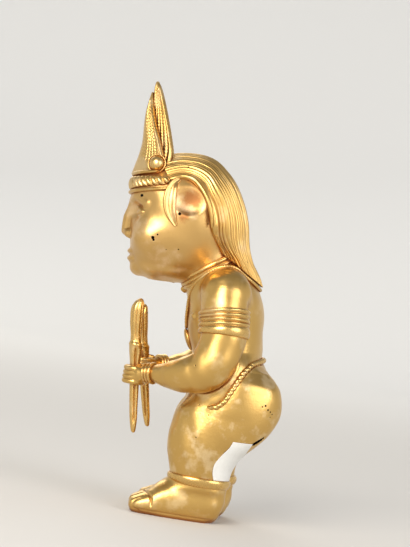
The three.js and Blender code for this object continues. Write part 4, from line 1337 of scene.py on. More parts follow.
@dataclass
class Head:
    """Head and neck with a calm, plain face on even proportions."""

    body: Body
    features: tuple[Feature, ...] = (
        # Cheek, and the hollow behind the ear
        Feature(((9.4, -32.2, 78.9),), (4.2, 4.4, 4.6), 4.5),
        Feature(((14.5, -22.2, 91.0),), (1.7, 4.4, 4.0), 1.4, sunk=True),
        # Eye socket, eyeball, brow, the slit of the closed eye, and the lid's fold
        Feature(((7.6, -39.1, 85.5),), (5.2, 3.4, 3.0), 1.6, sunk=True),
        Feature(((7.0, -35.0, 85.2),), (3.9, 2.1, 1.9), 0.4),
        Feature(((2.2, -38.8, 88.7), (6.2, -37.9, 89.9), (10.8, -34.4, 88.2)), 0.85, 1.1),
        Feature(
            (
                (4.7, -36.75, 84.7), (5.6, -36.95, 84.42), (7.0, -37.02, 84.3), (9.0, -36.75, 84.5),
                (10.4, -36.0, 84.9),
            ),
            0.3, 0.2, sunk=True,
        ),
        Feature(
            (
                (3.4, -36.2, 85.6), (5.0, -36.75, 86.6), (7.0, -36.95, 86.95), (9.0, -36.6, 86.6),
                (10.6, -35.6, 85.6),
            ),
            0.4, 0.3,
        ),
        # Bridge of the nose, its wing, and the nostril
        Feature(((0, -38.6, 88.4), (0, -39.6, 83.8), (0, -39.6, 79.6)), 1.45, 1.4, paired=False),
        Feature(((1.9, -38.3, 78.9),), (1.5, 1.8, 1.4), 0.6),
        Feature(((1.2, -39.6, 77.4),), (0.55, 0.8, 0.5), 0.3, sunk=True),
        # Upper lip, lower lip, the line between them, and the chin
        Feature(((0, -36.2, 73.9),), (5.2, 2.2, 1.05), 0.7, paired=False),
        Feature(((0, -35.9, 71.8),), (4.4, 2.2, 1.15), 0.7, paired=False),
        Feature(((0, -38.5, 72.9), (2.8, -38.0, 72.75), (5.6, -35.9, 72.5)), 0.32, 0.2, sunk=True),
        Feature(((0, -34.0, 69.4),), (4.2, 2.9, 2.4), 1.8, paired=False),
    )
    pits: tuple[tuple[float, float, float], ...] = ((9.0, -35.7, 90.0), (11.5, -31.9, 78.4))
    pit_radius: float = 0.42
    middle_y: float = -24.0  # the upright line in the head from which it is seen
    levels: tuple[float, float] = (76.0, 94.0)

    def distance(self, p: Array) -> Array:
        """Skull and neck, with the features and with two casting pits on the left.

        Args:
            p: Points.

        Returns:
            The distance at each, below 0 inside.
        """
        folded = on_left(p)
        own = joined(self.body.head.distance(p), self.body.neck.distance(p), 4.0)
        for feature in self.features:
            own = feature.on(own, folded if feature.paired else p)
        for pit in self.pits:
            inner = (pit[0] * 0.75, pit[1] + 3, pit[2])
            own = cut(own, tube(p, [pit, inner], self.pit_radius), 0.12)
        return np.maximum(own, -self.body.above_collar(p) - 0.1)

    def skin(self) -> Skin:
        """Rays from an upright line in the head, closer together towards the face.

        Returns:
            The surface.
        """
        even = around(300)
        angles = even + 0.42 * np.cos(even)
        z = np.linspace(*self.levels, 150)
        rays = capsule(upright(0, np.full(150, self.middle_y), z), angles, (80, 50))
        return Skin(rays.cast(self.distance, 26, 36))


@dataclass
class Hair:
    """Long hair drawn back over the skull in fine strands, which flares over the nape."""

    axis: tuple[float, float] = (-22.0, 84.0)
    rows: tuple[tuple[float, float, float, float], ...] = (
        (122, 21.7, 17.9, 50), (99, 21.3, 17.4, 50), (78, 21.0, 17.0, 56), (60, 19.5, 16.9, 62),
        (34, 17.9, 16.8, 64), (10, 17.9, 16.6, 65), (-8, 19.0, 16.2, 64), (-20, 22.0, 15.6, 62),
        (-27, 26.6, 15.2, 60), (-31, 29.2, 15.0, 58),
    )
    strands: int = 34
    strand_height: float = 0.55
    rim_height: float = 0.3
    thickness: float = 2.6
    half_mm: float = 17.0  # about the mantle's half width, to measure from its edges
    hem_from: float = 0.965  # where the hem begins to round over
    ridge_radius: float = 0.85
    ridge: tuple[tuple[float, float, float], ...] = (
        (11.6, -30.9, 95.0), (12.4, -28.4, 96.3), (12.0, -25.8, 97.4), (12.2, -22.8, 97.2),
        (13.4, -19.8, 95.0), (14.2, -17.4, 91.8), (14.6, -15.8, 88.0), (14.5, -14.9, 84.0),
    )

    def at(self, share: Array, across: Array, depth: Array) -> Array:
        """The mantle's points.

        x is (wide - depth) sin(a), and the rest of the way is r = (reach - depth) cos(a) at the angle
        turn about the crosswise axis, where a = edge across.

        Args:
            share: Place along the strands, from the headdress to the hem.
            across: Place across them, from -1 to 1.
            depth: Depth under the mantle's surface.

        Returns:
            The points.
        """
        table = np.array(self.rows, float)
        turn, reach, wide, edge = np.moveaxis(
            eased(np.linspace(0, 1, len(table)), table, share), -1, 0
        )
        a = np.radians(edge) * across
        r = (reach - depth) * np.cos(a)
        turn = np.radians(turn)
        y, z = self.axis
        return np.stack([(wide - depth) * np.sin(a), y + r * np.cos(turn), z + r * np.sin(turn)], -1)

    def relief(self, share: Array, across: Array) -> Array:
        """Depth of the mantle's surface under its full height.

        It is 1 - |sin|^0.7 between valleys, for rounded strands, which are lower over the crown and
        lie a little higher or lower. A rim stands up, and the edges are tucked in to the neck.

        Args:
            share: Place along the strands.
            across: Place across them, from -1 to 1.

        Returns:
            The depth at each place.
        """
        wave = across + 0.011 * np.sin(6 * share + 9 * across) + 0.008 * np.sin(31 * across - 3 * share)
        place = (wave + 1) / 2 * self.strands
        levels = np.random.default_rng(5).uniform(-0.6, 0.6, self.strands + 2)
        level = levels[np.clip(np.floor(place).astype(int), 0, self.strands)]
        strand = np.abs(np.sin(math.pi * place))
        height = self.strand_height * (0.5 + 0.5 * smooth_step(share, 0.2, 0.6))
        inset = height * (1 - strand**0.7 + 0.35 * level * smooth_step(strand, 0.2, 0.9))
        on_rim = pulse((1 - np.abs(across)) * self.half_mm - 0.7, 0.65)
        return inset * (1 - on_rim) - self.rim_height * on_rim + self.tuck(share, across)

    def tuck(self, share: Array, across: Array) -> Array:
        """How far the edges are tucked in to the neck, more towards the hem."""
        return smooth_step(np.abs(across), 0.7, 1.0) * (1.2 + 2.6 * smooth_step(share, 0.55, 0.95))

    def brow_ridge(self, side: Side) -> Skin:
        """A round ridge, tapered to its ends, from the temple over the ear along the hair's edge.

        Args:
            side: Which side.

        Returns:
            The surface.
        """
        spine = smooth_route(np.array(self.ridge), 130)
        t = np.linspace(0, 1, len(spine))[:, None]
        ahead, out = spine_axes(spine)
        angle = around(32)[None, :]
        r = self.ridge_radius * (0.12 + 0.88 * np.sin(math.pi * np.clip(t * 0.9 + 0.1, 0, 1)) ** 0.5)
        rings = (r * np.cos(angle))[..., None] * np.cross(ahead, out)[:, None]
        rings = spine[:, None] + rings + (1.2 * r * np.sin(angle))[..., None] * out[:, None]
        return Skin(rings).mirrored(side)

    def skin(self) -> Skin:
        """Outside over the strands, and back under them to the other edge.

        Returns:
            The surface.
        """
        share = np.linspace(0, 1, 190)[:, None]
        outer = crowded(380, 0.55)
        over = self.relief(share, outer[None, :])
        end = np.maximum(0, share - self.hem_from) / (1 - self.hem_from)
        over = over + self.thickness * (1 - np.sqrt(1 - np.clip(end, 0, 1) ** 2))
        lip = rounded((1 - np.abs(outer)) * self.half_mm / 0.5)
        over = over + 0.5 * (1 - lip)[None, :]
        top = self.at(np.broadcast_to(share, over.shape), np.broadcast_to(outer, over.shape), over)
        inner = np.broadcast_to(np.linspace(1, -1, 60)[None, :], (len(share), 60))
        deep = self.thickness + 0.7 * self.tuck(share, inner)
        under = self.at(np.broadcast_to(share, inner.shape), inner, deep)
        return Skin(np.concatenate([top, under], 1))


@dataclass
class Ear:
    """An ear: a broad hollow flap that narrows to the lobe."""

    body: Body
    side: Side
    route: tuple[tuple[float, float], ...] = (
        (-26.4, 96.6), (-27.7, 95.0), (-28.2, 92.4), (-28.1, 89.4), (-27.4, 86.6), (-26.2, 84.4),
        (-25.2, 83.0),
    )
    half_wide: tuple[float, ...] = (0.6, 1.3, 1.8, 2.0, 1.75, 1.25, 0.45)
    rise: float = 1.25
    hollow: float = 0.75

    def on_head(self, y: Array, z: Array) -> Array:
        """Half width of the head at a place seen from the side.

        Args:
            y: Place from front to back.
            z: Height.

        Returns:
            The half width there.
        """
        middle, deep, wide = self.body.head.sizes(z)
        lean = np.clip(np.abs(y - middle) / deep, 0, 1)
        return wide * (1 - lean**2.2) ** (1 / 2.2)

    def skin(self) -> Skin:
        """Sections square to the route.

        Across, a section is w sign(c) |c|^0.8, and outwards a rounded oval less hollow cos(pi c / 2)^2
        on its outer face, with c the cosine of the angle round it.

        Returns:
            The surface.
        """
        route = smooth_route(np.array(self.route), 110)
        knots = np.linspace(0, 1, len(self.half_wide))
        half = np.interp(np.linspace(0, 1, len(route)), knots, self.half_wide)
        wide = np.convolve(np.pad(half, 7, mode="edge"), bell(15), "valid")[:, None]
        spine = np.stack([self.on_head(route[:, 0], route[:, 1]) + 0.2, *route.T], -1)
        ahead, out = spine_axes(spine)
        angle = around(56)[None, :]
        c, s = np.cos(angle), np.sin(angle)
        across = np.sign(c) * np.abs(c) ** 0.8
        high = self.rise * np.clip(wide / 1.5, 0.3, 1)
        dish = self.hollow / self.rise * np.cos(across * math.pi / 2) ** 2 * (s > 0)
        lift = high * (np.sign(s) * np.abs(s) ** 0.6 - dish)
        rings = spine[:, None] + (wide * across)[..., None] * np.cross(ahead, out)[:, None]
        return Skin(rings + lift[..., None] * out[:, None]).mirrored(self.side)


@dataclass(frozen=True)
class Leaf:
    """One tall leaf of the headdress, curved round the brow."""

    rows: tuple[tuple[float, float, float, float], ...]
    ribs: int
    rib_depth: float
    rim: float
    plain_below: float
    plain_middle: float
    thickness: float = 1.4
    stroke_pitch: float = 0.95  # from one slanting stroke to the next, upright

    def skin(self) -> Skin:
        """Rows of points over the leaf's face, and back behind it.

        A row is (wide s, front + (side - front) s^2, z), moved in square to the face by the depth of
        the ribs |sin(n s^1.5)|, their slanting strokes and the rounded, rimmed edge.

        Returns:
            The surface.
        """
        table = np.array(self.rows)
        rows = eased(np.linspace(0, 1, len(table)), table, np.linspace(0, 1, 220))
        z, front, side, wide = (c[:, None] for c in rows.T)
        s = crowded(250, 0.7)[None, :]
        place = np.abs(s)
        bow = side - front
        to_edge = (1 - place) * np.hypot(np.maximum(wide, 0.8), 2 * bow)
        ribs = self.ribs * place**1.5
        groove = np.abs(np.sin(math.pi * ribs)) ** 0.6
        zigzag = np.abs(ribs % 2 - 1)
        strokes = 0.5 + 0.5 * np.sin(TAU * (z / self.stroke_pitch + 0.8 * zigzag))
        shown = smooth_step(z, self.plain_below, self.plain_below + 3)
        shown = shown * smooth_step(place, self.plain_middle, self.plain_middle + 0.15)
        shown = shown * smooth_step(wide, 0.8, 3.0)
        depth = self.rib_depth * shown * (1 - groove + 0.45 * strokes)
        on_rim = pulse(to_edge - 0.6, 0.42)
        depth = depth * (1 - on_rim) - self.rim * on_rim * smooth_step(wide, 0.8, 4.0)
        thick = self.thickness * np.minimum(1, 0.4 + wide / 6)
        depth = depth + thick / 2 * (1 - rounded(to_edge / 0.5))

        def at(s: Array, depth: Array) -> Array:
            """A point of the leaf, moved in by the depth square to its face.

            Args:
                s: Place across, from -1 to 1.
                depth: How far in.

            Returns:
                The points.
            """
            steep = 2 * bow * s
            norm = np.hypot(wide, steep)
            x = wide * s - depth * steep / norm
            y = front + bow * s**2 + depth * wide / norm
            return np.stack([x, y, z + 0 * y], -1)

        back = np.linspace(1, -1, 50)[None, :]
        hollow = np.sqrt(np.clip(1 - back**8, 0, 1))
        return Skin(np.concatenate([at(s, depth), at(back * 0.985, thick * (0.5 + 0.5 * hollow))], 1))


@dataclass
class BrowBand:
    """A band round the brow, from temple to temple, on the head's own surface."""

    body: Body
    front: float  # height at the middle of the brow
    side: float  # height at its ends
    half: float  # half its height at the middle
    half_side: float  # and at its ends
    rise: float
    end: float  # degrees from the middle of the brow to an end
    droop: float = 1.5
    slant: float = 0.0  # how many slanting strokes a braid has on each side

    def skin(self) -> Skin:
        """Oval sections round the brow.

        Their height is front + (side - front) |turn|^droop. A braid's strokes swell the section by
        |sin| of the place along the band plus the height in the section.

        Returns:
            The surface.
        """
        turn = np.linspace(-1, 1, 360)
        z = self.front + (self.side - self.front) * np.abs(turn) ** self.droop
        middle, deep, wide = self.body.head.sizes(z)
        angle = -math.pi / 2 + turn * math.radians(self.end)
        c, s = np.cos(angle), np.sin(angle)
        power = 2 / 2.2
        x = wide * np.sign(c) * np.abs(c) ** power
        y = middle + deep * np.sign(s) * np.abs(s) ** power
        outward = unit(np.stack([x, y - middle, 0 * x], -1))
        half = self.half + (self.half_side - self.half) * np.abs(turn)
        half = half * np.sqrt(np.clip(1 - np.abs(turn) ** 30, 0.02, 1))
        around_band = around(48)[None, :]
        up = np.sin(around_band)
        out = np.sign(np.cos(around_band)) * np.abs(np.cos(around_band)) ** 0.75
        swell = np.ones((len(turn), 1)) * self.rise + 0 * up
        if self.slant:
            lay = self.slant * np.abs(turn)[:, None] + 0.55 * up
            stroke = np.abs(np.sin(math.pi * lay)) ** 0.7
            swell = self.rise * (0.5 + 0.62 * stroke)
        centre = np.stack([x, y, z], -1)
        points = centre[:, None] + (swell * out + 0.1)[..., None] * outward[:, None]
        points = points + (half[:, None] * up)[..., None] * np.array([0, 0, 1.0])
        return Skin(points)


@dataclass
class Headdress:
    """Two leaves, one before the other, with a boss at each foot, a hem and two brow bands."""

    body: Body
    finishes: Finishes
    front: Leaf = Leaf(
        (
            (96.2, -40.9, -31.2, 10.0), (98.6, -40.4, -31.5, 9.7), (102.0, -39.7, -32.3, 8.8),
            (106.0, -39.3, -33.9, 7.4), (111.0, -39.6, -36.0, 5.3), (114.8, -39.7, -37.3, 3.6),
            (117.8, -39.4, -38.1, 2.1), (119.9, -39.1, -38.6, 1.0), (120.9, -38.9, -38.7, 0.4),
        ),
        ribs=9, rib_depth=0.3, rim=0.3, plain_below=98.5, plain_middle=0.4,
    )
    rear: Leaf = Leaf(
        (
            (97.0, -38.2, -30.5, 9.0), (103.6, -37.6, -30.1, 8.2), (108.0, -37.5, -31.1, 7.0),
            (114.2, -37.8, -33.2, 5.1), (119.4, -38.2, -35.2, 3.5), (122.2, -38.3, -36.4, 2.4),
            (123.6, -38.2, -37.1, 1.4), (124.25, -38.0, -37.5, 0.5),
        ),
        ribs=7, rib_depth=0.28, rim=0.2, plain_below=95.0, plain_middle=0.3,
    )
    boss: tuple[float, float, float] = (9.5, -33.7, 100.0)
    boss_axis: tuple[float, float, float] = (1.0, -0.3, 0.12)

    def boss_skin(self, side: Side) -> Skin:
        """A ball in a raised ring: radius and height along the turned profile.

        Args:
            side: Which side.

        Returns:
            The surface.
        """
        profile = np.array([
            (2.5, -1.2), (2.75, -0.4), (2.78, 0.0), (2.65, 0.25), (2.45, 0.2), (2.25, -0.1),
            (2.2, 0.1), (2.1, 0.6), (1.8, 1.2), (1.3, 1.68), (0.7, 1.95), (0.12, 2.02),
        ])
        fine = eased(np.linspace(0, 1, len(profile)), profile, np.linspace(0, 1, 60))
        return disc_skin(self.boss, self.boss_axis, fine, 64).mirrored(side)

    def build(self) -> None:
        """Makes the headdress's pieces."""
        finishes = self.finishes
        make_piece(
            "leaf_front", [self.front.skin()], finishes.relief,
            ["headdress_front_leaf"],
        )
        make_piece("leaf_rear", [self.rear.skin()], finishes.body, ["headdress_rear_leaf"])
        for side in Side:
            make_piece(
                "leaf_boss_" + side.tag, [self.boss_skin(side)], finishes.relief,
                ["headdress_boss_" + side.tag],
            )
        hem = BrowBand(
            self.body, front=96.2, side=97.8, half=0.8, half_side=0.65, rise=1.35, end=60
        )
        braid = BrowBand(
            self.body, front=93.5, side=95.6, half=2.0, half_side=1.35, rise=1.15, end=77, slant=10
        )
        cord = BrowBand(
            self.body, front=90.8, side=93.5, half=0.6, half_side=0.5, rise=0.9, end=79
        )
        make_piece("brow_hem", [hem.skin()], finishes.body, ["headdress_hem"])
        make_piece("brow_braid", [braid.skin()], finishes.relief, ["headband_braid"])
        make_piece("brow_cord", [cord.skin()], finishes.body, ["headband_cord"])


@dataclass
class Staff:
    """A staff with a fluted head, a knot above the fist and a shaft of two rods below it."""

    side: Side
    x: float = 6.4
    grip_z: float = 40.0
    right_length: float = 0.92  # the right staff's length, as a share of the left one's
    right_lean: float = 0.075  # how far back it goes for each millimetre down
    rows: tuple[tuple[float, float, float, float], ...] = (
        (-27.8, 21.8, 0.7, 0.6), (-28.2, 24.6, 1.1, 1.0), (-29.0, 30.0, 1.35, 1.25),
        (-29.8, 36.2, 1.5, 1.4), (-30.6, 42.0, 1.6, 1.5), (-31.1, 46.5, 1.9, 1.9),
        (-31.5, 49.4, 1.6, 1.6), (-32.1, 54.0, 2.0, 1.9), (-32.3, 58.6, 1.9, 1.7),
        (-31.8, 60.8, 1.1, 0.9),
    )

    def form(self) -> LevelForm:
        """The staff's level ovals; the right staff is shorter, stands nearer and leans more.

        Returns:
            The form, on the left in both cases.
        """
        rows = []
        for y, z, wide, deep in self.rows:
            if self.side is Side.RIGHT:
                z = self.grip_z + (z - self.grip_z) * self.right_length
                y = y + 0.8 + (60.0 - z) * self.right_lean
            rows.append((z, y - deep, y + deep, wide))
        return LevelForm(tuple(rows), x=self.x)

    def skin(self) -> Skin:
        """Ovals with flutes r (1 - depth |sin(n a)|) above the knot and two rods below the fist.

        Returns:
            The surface.
        """
        form = self.form()
        low, high = form.rows[0][0], form.rows[-1][0]
        z = np.linspace(low, high, 260)
        middle, deep, wide = form.sizes(z)
        angle = around(96)[None, :]
        share = ((z - low) / (high - low))[:, None]
        flutes = 0.2 * (1 - np.abs(np.sin(3.5 * angle)) ** 0.5) * smooth_step(share, 0.66, 0.72)
        rods = 0.42 * pulse(np.sin(angle - math.pi * 0.06), 0.32) * np.abs(np.cos(angle))
        rods = rods * (1 - smooth_step(share, 0.6, 0.65)) * smooth_step(share, 0.03, 0.12)
        knot = 0.1 * pulse(share - 0.655, 0.014) - 0.05 * pulse(share - 0.68, 0.014)
        ends = np.minimum(rounded((1 - share) / 0.03), rounded(share / 0.02))
        grow = (1 - flutes - rods + knot) * np.maximum(ends, 0.02)
        x = self.x + wide[:, None] * np.cos(angle) * grow
        y = middle[:, None] + deep[:, None] * np.sin(angle) * grow
        return Skin(np.stack([x, y, z[:, None] + 0 * x], -1)).mirrored(self.side)


@dataclass
class Fist:
    """A fist of four stacked fingers round a staff, with the thumb behind it."""

    body: Body
    side: Side
    finger: float = 0.78  # a finger's radius
    pitch: float = 1.25  # from one finger to the next
    drop: float = 0.9  # how far the fist's middle is under the wrist's end
    cut_share: float = 0.93  # where on the arm the hand begins

    def skin(self) -> Skin:
        """Rays from the staff's middle line; a finger is a ring round the staff at its own height.

        Returns:
            The surface.
        """
        arm = self.body.arm(self.side)
        staff = Staff(self.side)
        wrist = arm.at(np.array(1.0))["centre"]
        end = arm.at(np.array(self.cut_share))
        height = float(wrist[2]) - self.drop
        y, deep, wide = (float(v) for v in staff.form().sizes(np.array(height)))
        reach = max(wide, deep) + 0.35 + self.finger
        palm = ((staff.x + wrist[0]) / 2 + 0.2, (y + wrist[1]) / 2 + 0.5, wrist[2] - 0.7)

        def field_of(p: Array) -> Array:
            """Fingers, palm, wrist and thumb.

            Args:
                p: Points.

            Returns:
                The distance at each, below 0 inside.
            """
            gap_x, gap_y = p[..., 0] - staff.x, p[..., 1] - y
            ring = np.hypot(gap_x, gap_y) - reach
            turn = np.arctan2(gap_y, gap_x)
            knuckle = 0.12 * pulse(np.sin((turn + 2.0) * 1.5), 0.5)
            nearest = np.clip(np.round((p[..., 2] - height) / self.pitch - 0.5), -2, 1) + 0.5
            own = np.hypot(ring, p[..., 2] - height - nearest * self.pitch) - self.finger - knuckle
            own = joined(own, egg(p, palm, (2.9, 2.6, 2.7)), 0.5)
            thumb = [
                (palm[0] + 0.6, palm[1] + 0.4, wrist[2] + 1.2),
                (staff.x + 1.6, y + 1.7, wrist[2] + 1.9),
                (staff.x - 0.2, y + 2.2, wrist[2] + 2.0),
            ]
            own = joined(own, tube(p, thumb, 0.75), 0.5)
            own = joined(own, arm.distance(p), 1.0)
            return np.maximum(own, -((p - end["centre"]) @ end["forward"]))

        z = np.linspace(height - 3.6, height + 4.0, 120)
        rays = capsule(upright(staff.x, np.full(len(z), y), z), around(200), (0, 0))
        return Skin(rays.cast(field_of, 9, 26)).mirrored(self.side)


@dataclass
class LowerBody:
    """Hips, thighs and shins down to the ankle, one piece for each leg."""

    body: Body
    slot: tuple[tuple[float, float, float], ...] = (
        (14.4, 6.5, 24.45), (13.6, 8.4, 25.9), (12.9, 9.9, 27.1),
    )
    slot_half: float = 0.42
    cleft: tuple[float, float] = (1.3, 2.2)  # depth and half width of the fold between the buttocks

    def skin(self, side: Side) -> Skin:
        """Level rays from the leg's middle line, held back at the middle plane and the belt.

        Args:
            side: Which side.

        Returns:
            The surface.
        """
        body, leg = self.body, self.body.leg(side)

        def field_of(p: Array) -> Array:
            """Leg and hips in one, cut at the middle plane and at the belt.

            Args:
                p: Points.

            Returns:
                The distance at each, below 0 inside.
            """
            own = joined(body.lower(p), leg.distance(p), 3.0)
            y, z = p[..., 1], p[..., 2]
            shown = smooth_step(y, 1.0, 5.0) * smooth_step(z, 25.0, 29.0) * smooth_step(46.5 - z, 0, 5)
            own = own + self.cleft[0] * shown * pulse(p[..., 0], self.cleft[1])
            if side is Side.LEFT:
                own = cut(own, tube(p, self.slot, self.slot_half), 0.1)
            above = body.above_belt(p)
            # It sinks under the trunk where it crosses the belt line
            own = np.maximum(own + 0.4 * smooth_step(above, -0.35, 0.3), above - 0.6)
            return np.maximum(own, 0.03 - p[..., 0])

        z = np.linspace(body.ankle_z - 0.4, 47.3, 250)
        middle = leg.sizes(z)[0]
        rays = capsule(upright(body.leg_x, middle, z), around(300), (0, 0))
        return Skin(rays.cast(field_of, 26, 30)).mirrored(side)


@dataclass
class Foot:
    """A bare foot with a flat sole and shallow grooves between the toes."""

    body: Body
    side: Side
    toe_row_y: float = -21.6  # the groove behind the toes
    toe_pitch: float = 2.6
    toe_groove: float = 0.4
    sole_line: tuple[float, float] = (1.3, 0.22)  # height and depth of the line over the sole

    def skin(self) -> Skin:
        """Rays square to a line from the heel to the toes, with a fan at each end.

        Returns:
            The surface.
        """
        body = self.body
        foot, leg = body.foot(self.side), body.leg(self.side)
        back = body.right_foot_back if self.side is Side.RIGHT else 0.0

        def field_of(p: Array) -> Array:
            """Foot and ankle in one over the flat sole, with the toes' grooves.

            Args:
                p: Points.

            Returns:
                The distance at each, below 0 inside.
            """
            own = joined(foot.distance(p), leg.distance(p), 3.0)
            y = p[..., 1] - back
            x = p[..., 0] - body.leg_x
            bow = y - self.toe_row_y - 0.06 * x**2
            own = own + 0.6 * pulse(bow, 0.3) * smooth_step(p[..., 2], 2.0, 4.0)
            toe = x / self.toe_pitch
            between = np.abs(toe - np.round(toe)) * self.toe_pitch
            toes = smooth_step(-y, 21.4, 22.4) * smooth_step(6.4 - np.abs(x), 0, 1)
            own = own + self.toe_groove * pulse(between, 0.3) * toes
            height, depth = self.sole_line
            own = own + depth * pulse(p[..., 2] - height, 0.35) * smooth_step(-y, 1.0, 4.0)
            return np.maximum(np.maximum(own, -p[..., 2]), p[..., 2] - body.ankle_z - 0.6)

        y = np.linspace(-4.0, -21.5, 150)
        z = np.interp(-y, [4.0, 14.0, 21.5], [4.2, 3.6, 2.6])
        ones = np.ones_like(y)[:, None]
        line = {
            "centre": np.stack([body.leg_x + 0 * y, y + back, z], -1),
            "forward": ones * np.array([0, -1.0, 0]),
            "across": ones * np.array([1.0, 0, 0]),
            "out": ones * np.array([0, 0, 1.0]),
        }
        points = capsule(line, around(220), (50, 50)).cast(field_of, 16, 24)
        points[..., 2] = np.maximum(points[..., 2], 0)
        return Skin(points).mirrored(self.side)


@dataclass
class Ornaments:
    """Necklace, collar, knot, pendant and belt."""

    body: Body
    torso: Torso
    finishes: Finishes
    necklace: tuple[tuple[float, float, float], ...] = (
        (0.0, -18.6, 54.4), (2.6, -19.0, 58.4), (4.6, -19.0, 62.6), (7.4, -17.8, 66.6),
        (10.4, -15.4, 70.4), (11.8, -12.0, 73.4), (11.8, -7.6, 74.8), (10.6, -3.2, 73.8),
        (8.4, 0.4, 71.6), (4.8, 3.0, 69.8), (0.0, 4.2, 69.2),
    )
    cord: float = 0.55  # the necklace's radius
    belt: float = 0.8  # the belt's radius
    pendant_half: tuple[float, float, float] = (2.6, 1.0, 3.4)
    pendant_place: tuple[float, float] = (-16.3, 51.0)  # y and z of its middle
    pendant_lean: float = 0.46
    knot_radius: float = 1.2
    knot_place: tuple[float, float] = (-19.8, 65.6)
    collar_half: float = 2.0 / 21.8  # half its width, as a share of the neck's line

    def hips(self, p: Array) -> Array:
        """The body's skin without the arms, for the belt to lie on."""
        return joined(self.body.lower(p), self.torso.thighs(p), 3.0)

    def shoulders(self, p: Array) -> Array:
        """The body's skin with the arms, for the necklace to lie on."""
        return joined(self.hips(p), self.body.arm(Side.LEFT).distance(on_left(p)), self.torso.fillet)

    def on_skin(self, surface: Distance, aim: Array, middle: Array, lift: Array | float) -> Array:
        """Points of a route laid on the body.

        Args:
            surface: The skin to lie on.
            aim: The route as drawn.
            middle: The inner point from which each is seen.
            lift: Height over the skin, one for all or one for each point.

        Returns:
            The points on the skin.
        """
        way = unit(aim - middle)
        length = Rays(middle, way).reach(surface, 34, 60)
        return middle + (length + lift)[..., None] * way

    def necklace_skin(self) -> Skin:
        """The cord round the neck opening, doubled over by its mirror image.

        Returns:
            The surface.
        """
        half = np.array(self.necklace)
        route = np.concatenate([half, (half[1:-1] * MIRROR)[::-1]])
        route = smooth_route(route, 360, looped=True)
        middle = np.stack([0 * route[:, 0], 0 * route[:, 0] - 8, np.minimum(route[:, 2], 66)], -1)
        laid = self.on_skin(self.shoulders, route, middle, self.cord * 0.75)
        wrapped = np.concatenate([laid[-6:], laid, laid[:6]])
        laid = np.stack([np.convolve(c, bell(13), "valid") for c in wrapped.T], -1)
        return cord_skin(laid, self.cord, 20, 2, 60, 0.2, True)

    def belt_skin(self) -> Skin:
        """A twisted cord along the belt line.

        Returns:
            The surface.
        """
        angle = around(420)
        y = -3.5 + 10.6 * np.sin(angle)
        table = np.array(self.body.belt_line)
        z = np.interp(y, table[:, 0], table[:, 1]) + 5.2 * smooth_step(-y, 8.6, 13.0)
        aim = np.stack([22 * np.cos(angle), y, z], -1)
        middle = np.stack([0 * y, 0 * y - 3.5, z], -1)
        sunk = smooth_step(-y, 5.6, 9.6) * smooth_step(y, -13.4, -11.4)
        lift = self.belt * (0.3 - 1.7 * sunk)
        laid = self.on_skin(self.hips, aim, middle, lift)
        return cord_skin(smooth_route(laid[::3], 560, looped=True), self.belt, 22, 2, 36, 0.3, True)

    def pendant_skin(self) -> Skin:
        """An egg that leans with the belly: half size times (cos l cos t, cos l sin t, sin l).

        Returns:
            The surface.
        """
        lean, turn = np.radians(np.linspace(-89, 89, 60))[:, None], around(72)[None, :]
        wide, deep, high = self.pendant_half
        y = deep * np.cos(lean) * np.sin(turn)
        z = high * np.sin(lean) + 0 * turn
        c, s = math.cos(self.pendant_lean), math.sin(self.pendant_lean)
        x, y, z = wide * np.cos(lean) * np.cos(turn), y * c - z * s, y * s + z * c
        return Skin(np.stack([x, y + self.pendant_place[0], z + self.pendant_place[1]], -1))

    def knot_skin(self) -> Skin:
        """A ball at the throat with three slanting lobes, r (1 + 0.08 cos(3 t + 4 l)).

        Returns:
            The surface.
        """
        lean, turn = np.radians(np.linspace(-89, 89, 40))[:, None], around(48)[None, :]
        r = self.knot_radius * (1 + 0.08 * np.cos(3 * turn + 4 * lean))
        y, z = self.knot_place
        x = r * np.cos(lean) * np.cos(turn)
        return Skin(np.stack([x, r * np.cos(lean) * np.sin(turn) + y, r * np.sin(lean) + z], -1))

    def collar_skin(self) -> Skin:
        """Three fine cords side by side round the neck.

        Returns:
            The surface.
        """
        share = 1 / 3
        span = np.linspace(share - self.collar_half, share + self.collar_half, 60)
        line = self.body.neck.at(span)
        return LimbBand(line, self.body.neck.distance, BandProfile.COLLAR, 0.9, 16).skin()

    def build(self) -> None:
        """Makes the ornaments."""
        relief, body = self.finishes.relief, self.finishes.body
        for name, skin, finish, slot, node in (
            ("necklace", self.necklace_skin(), relief, "polished_relief", "necklace_cord"),
            ("neck_collar", self.collar_skin(), relief, "polished_relief", "collar"),
            ("breast_pendant", self.pendant_skin(), body, "cast_alloy", "pendant"),
            ("throat_bead", self.knot_skin(), body, "cast_alloy", "throat_knot"),
            ("waist_cord", self.belt_skin(), relief, "polished_relief", "belt_cord"),
        ):
            make_piece(name, [skin], finish, [node])


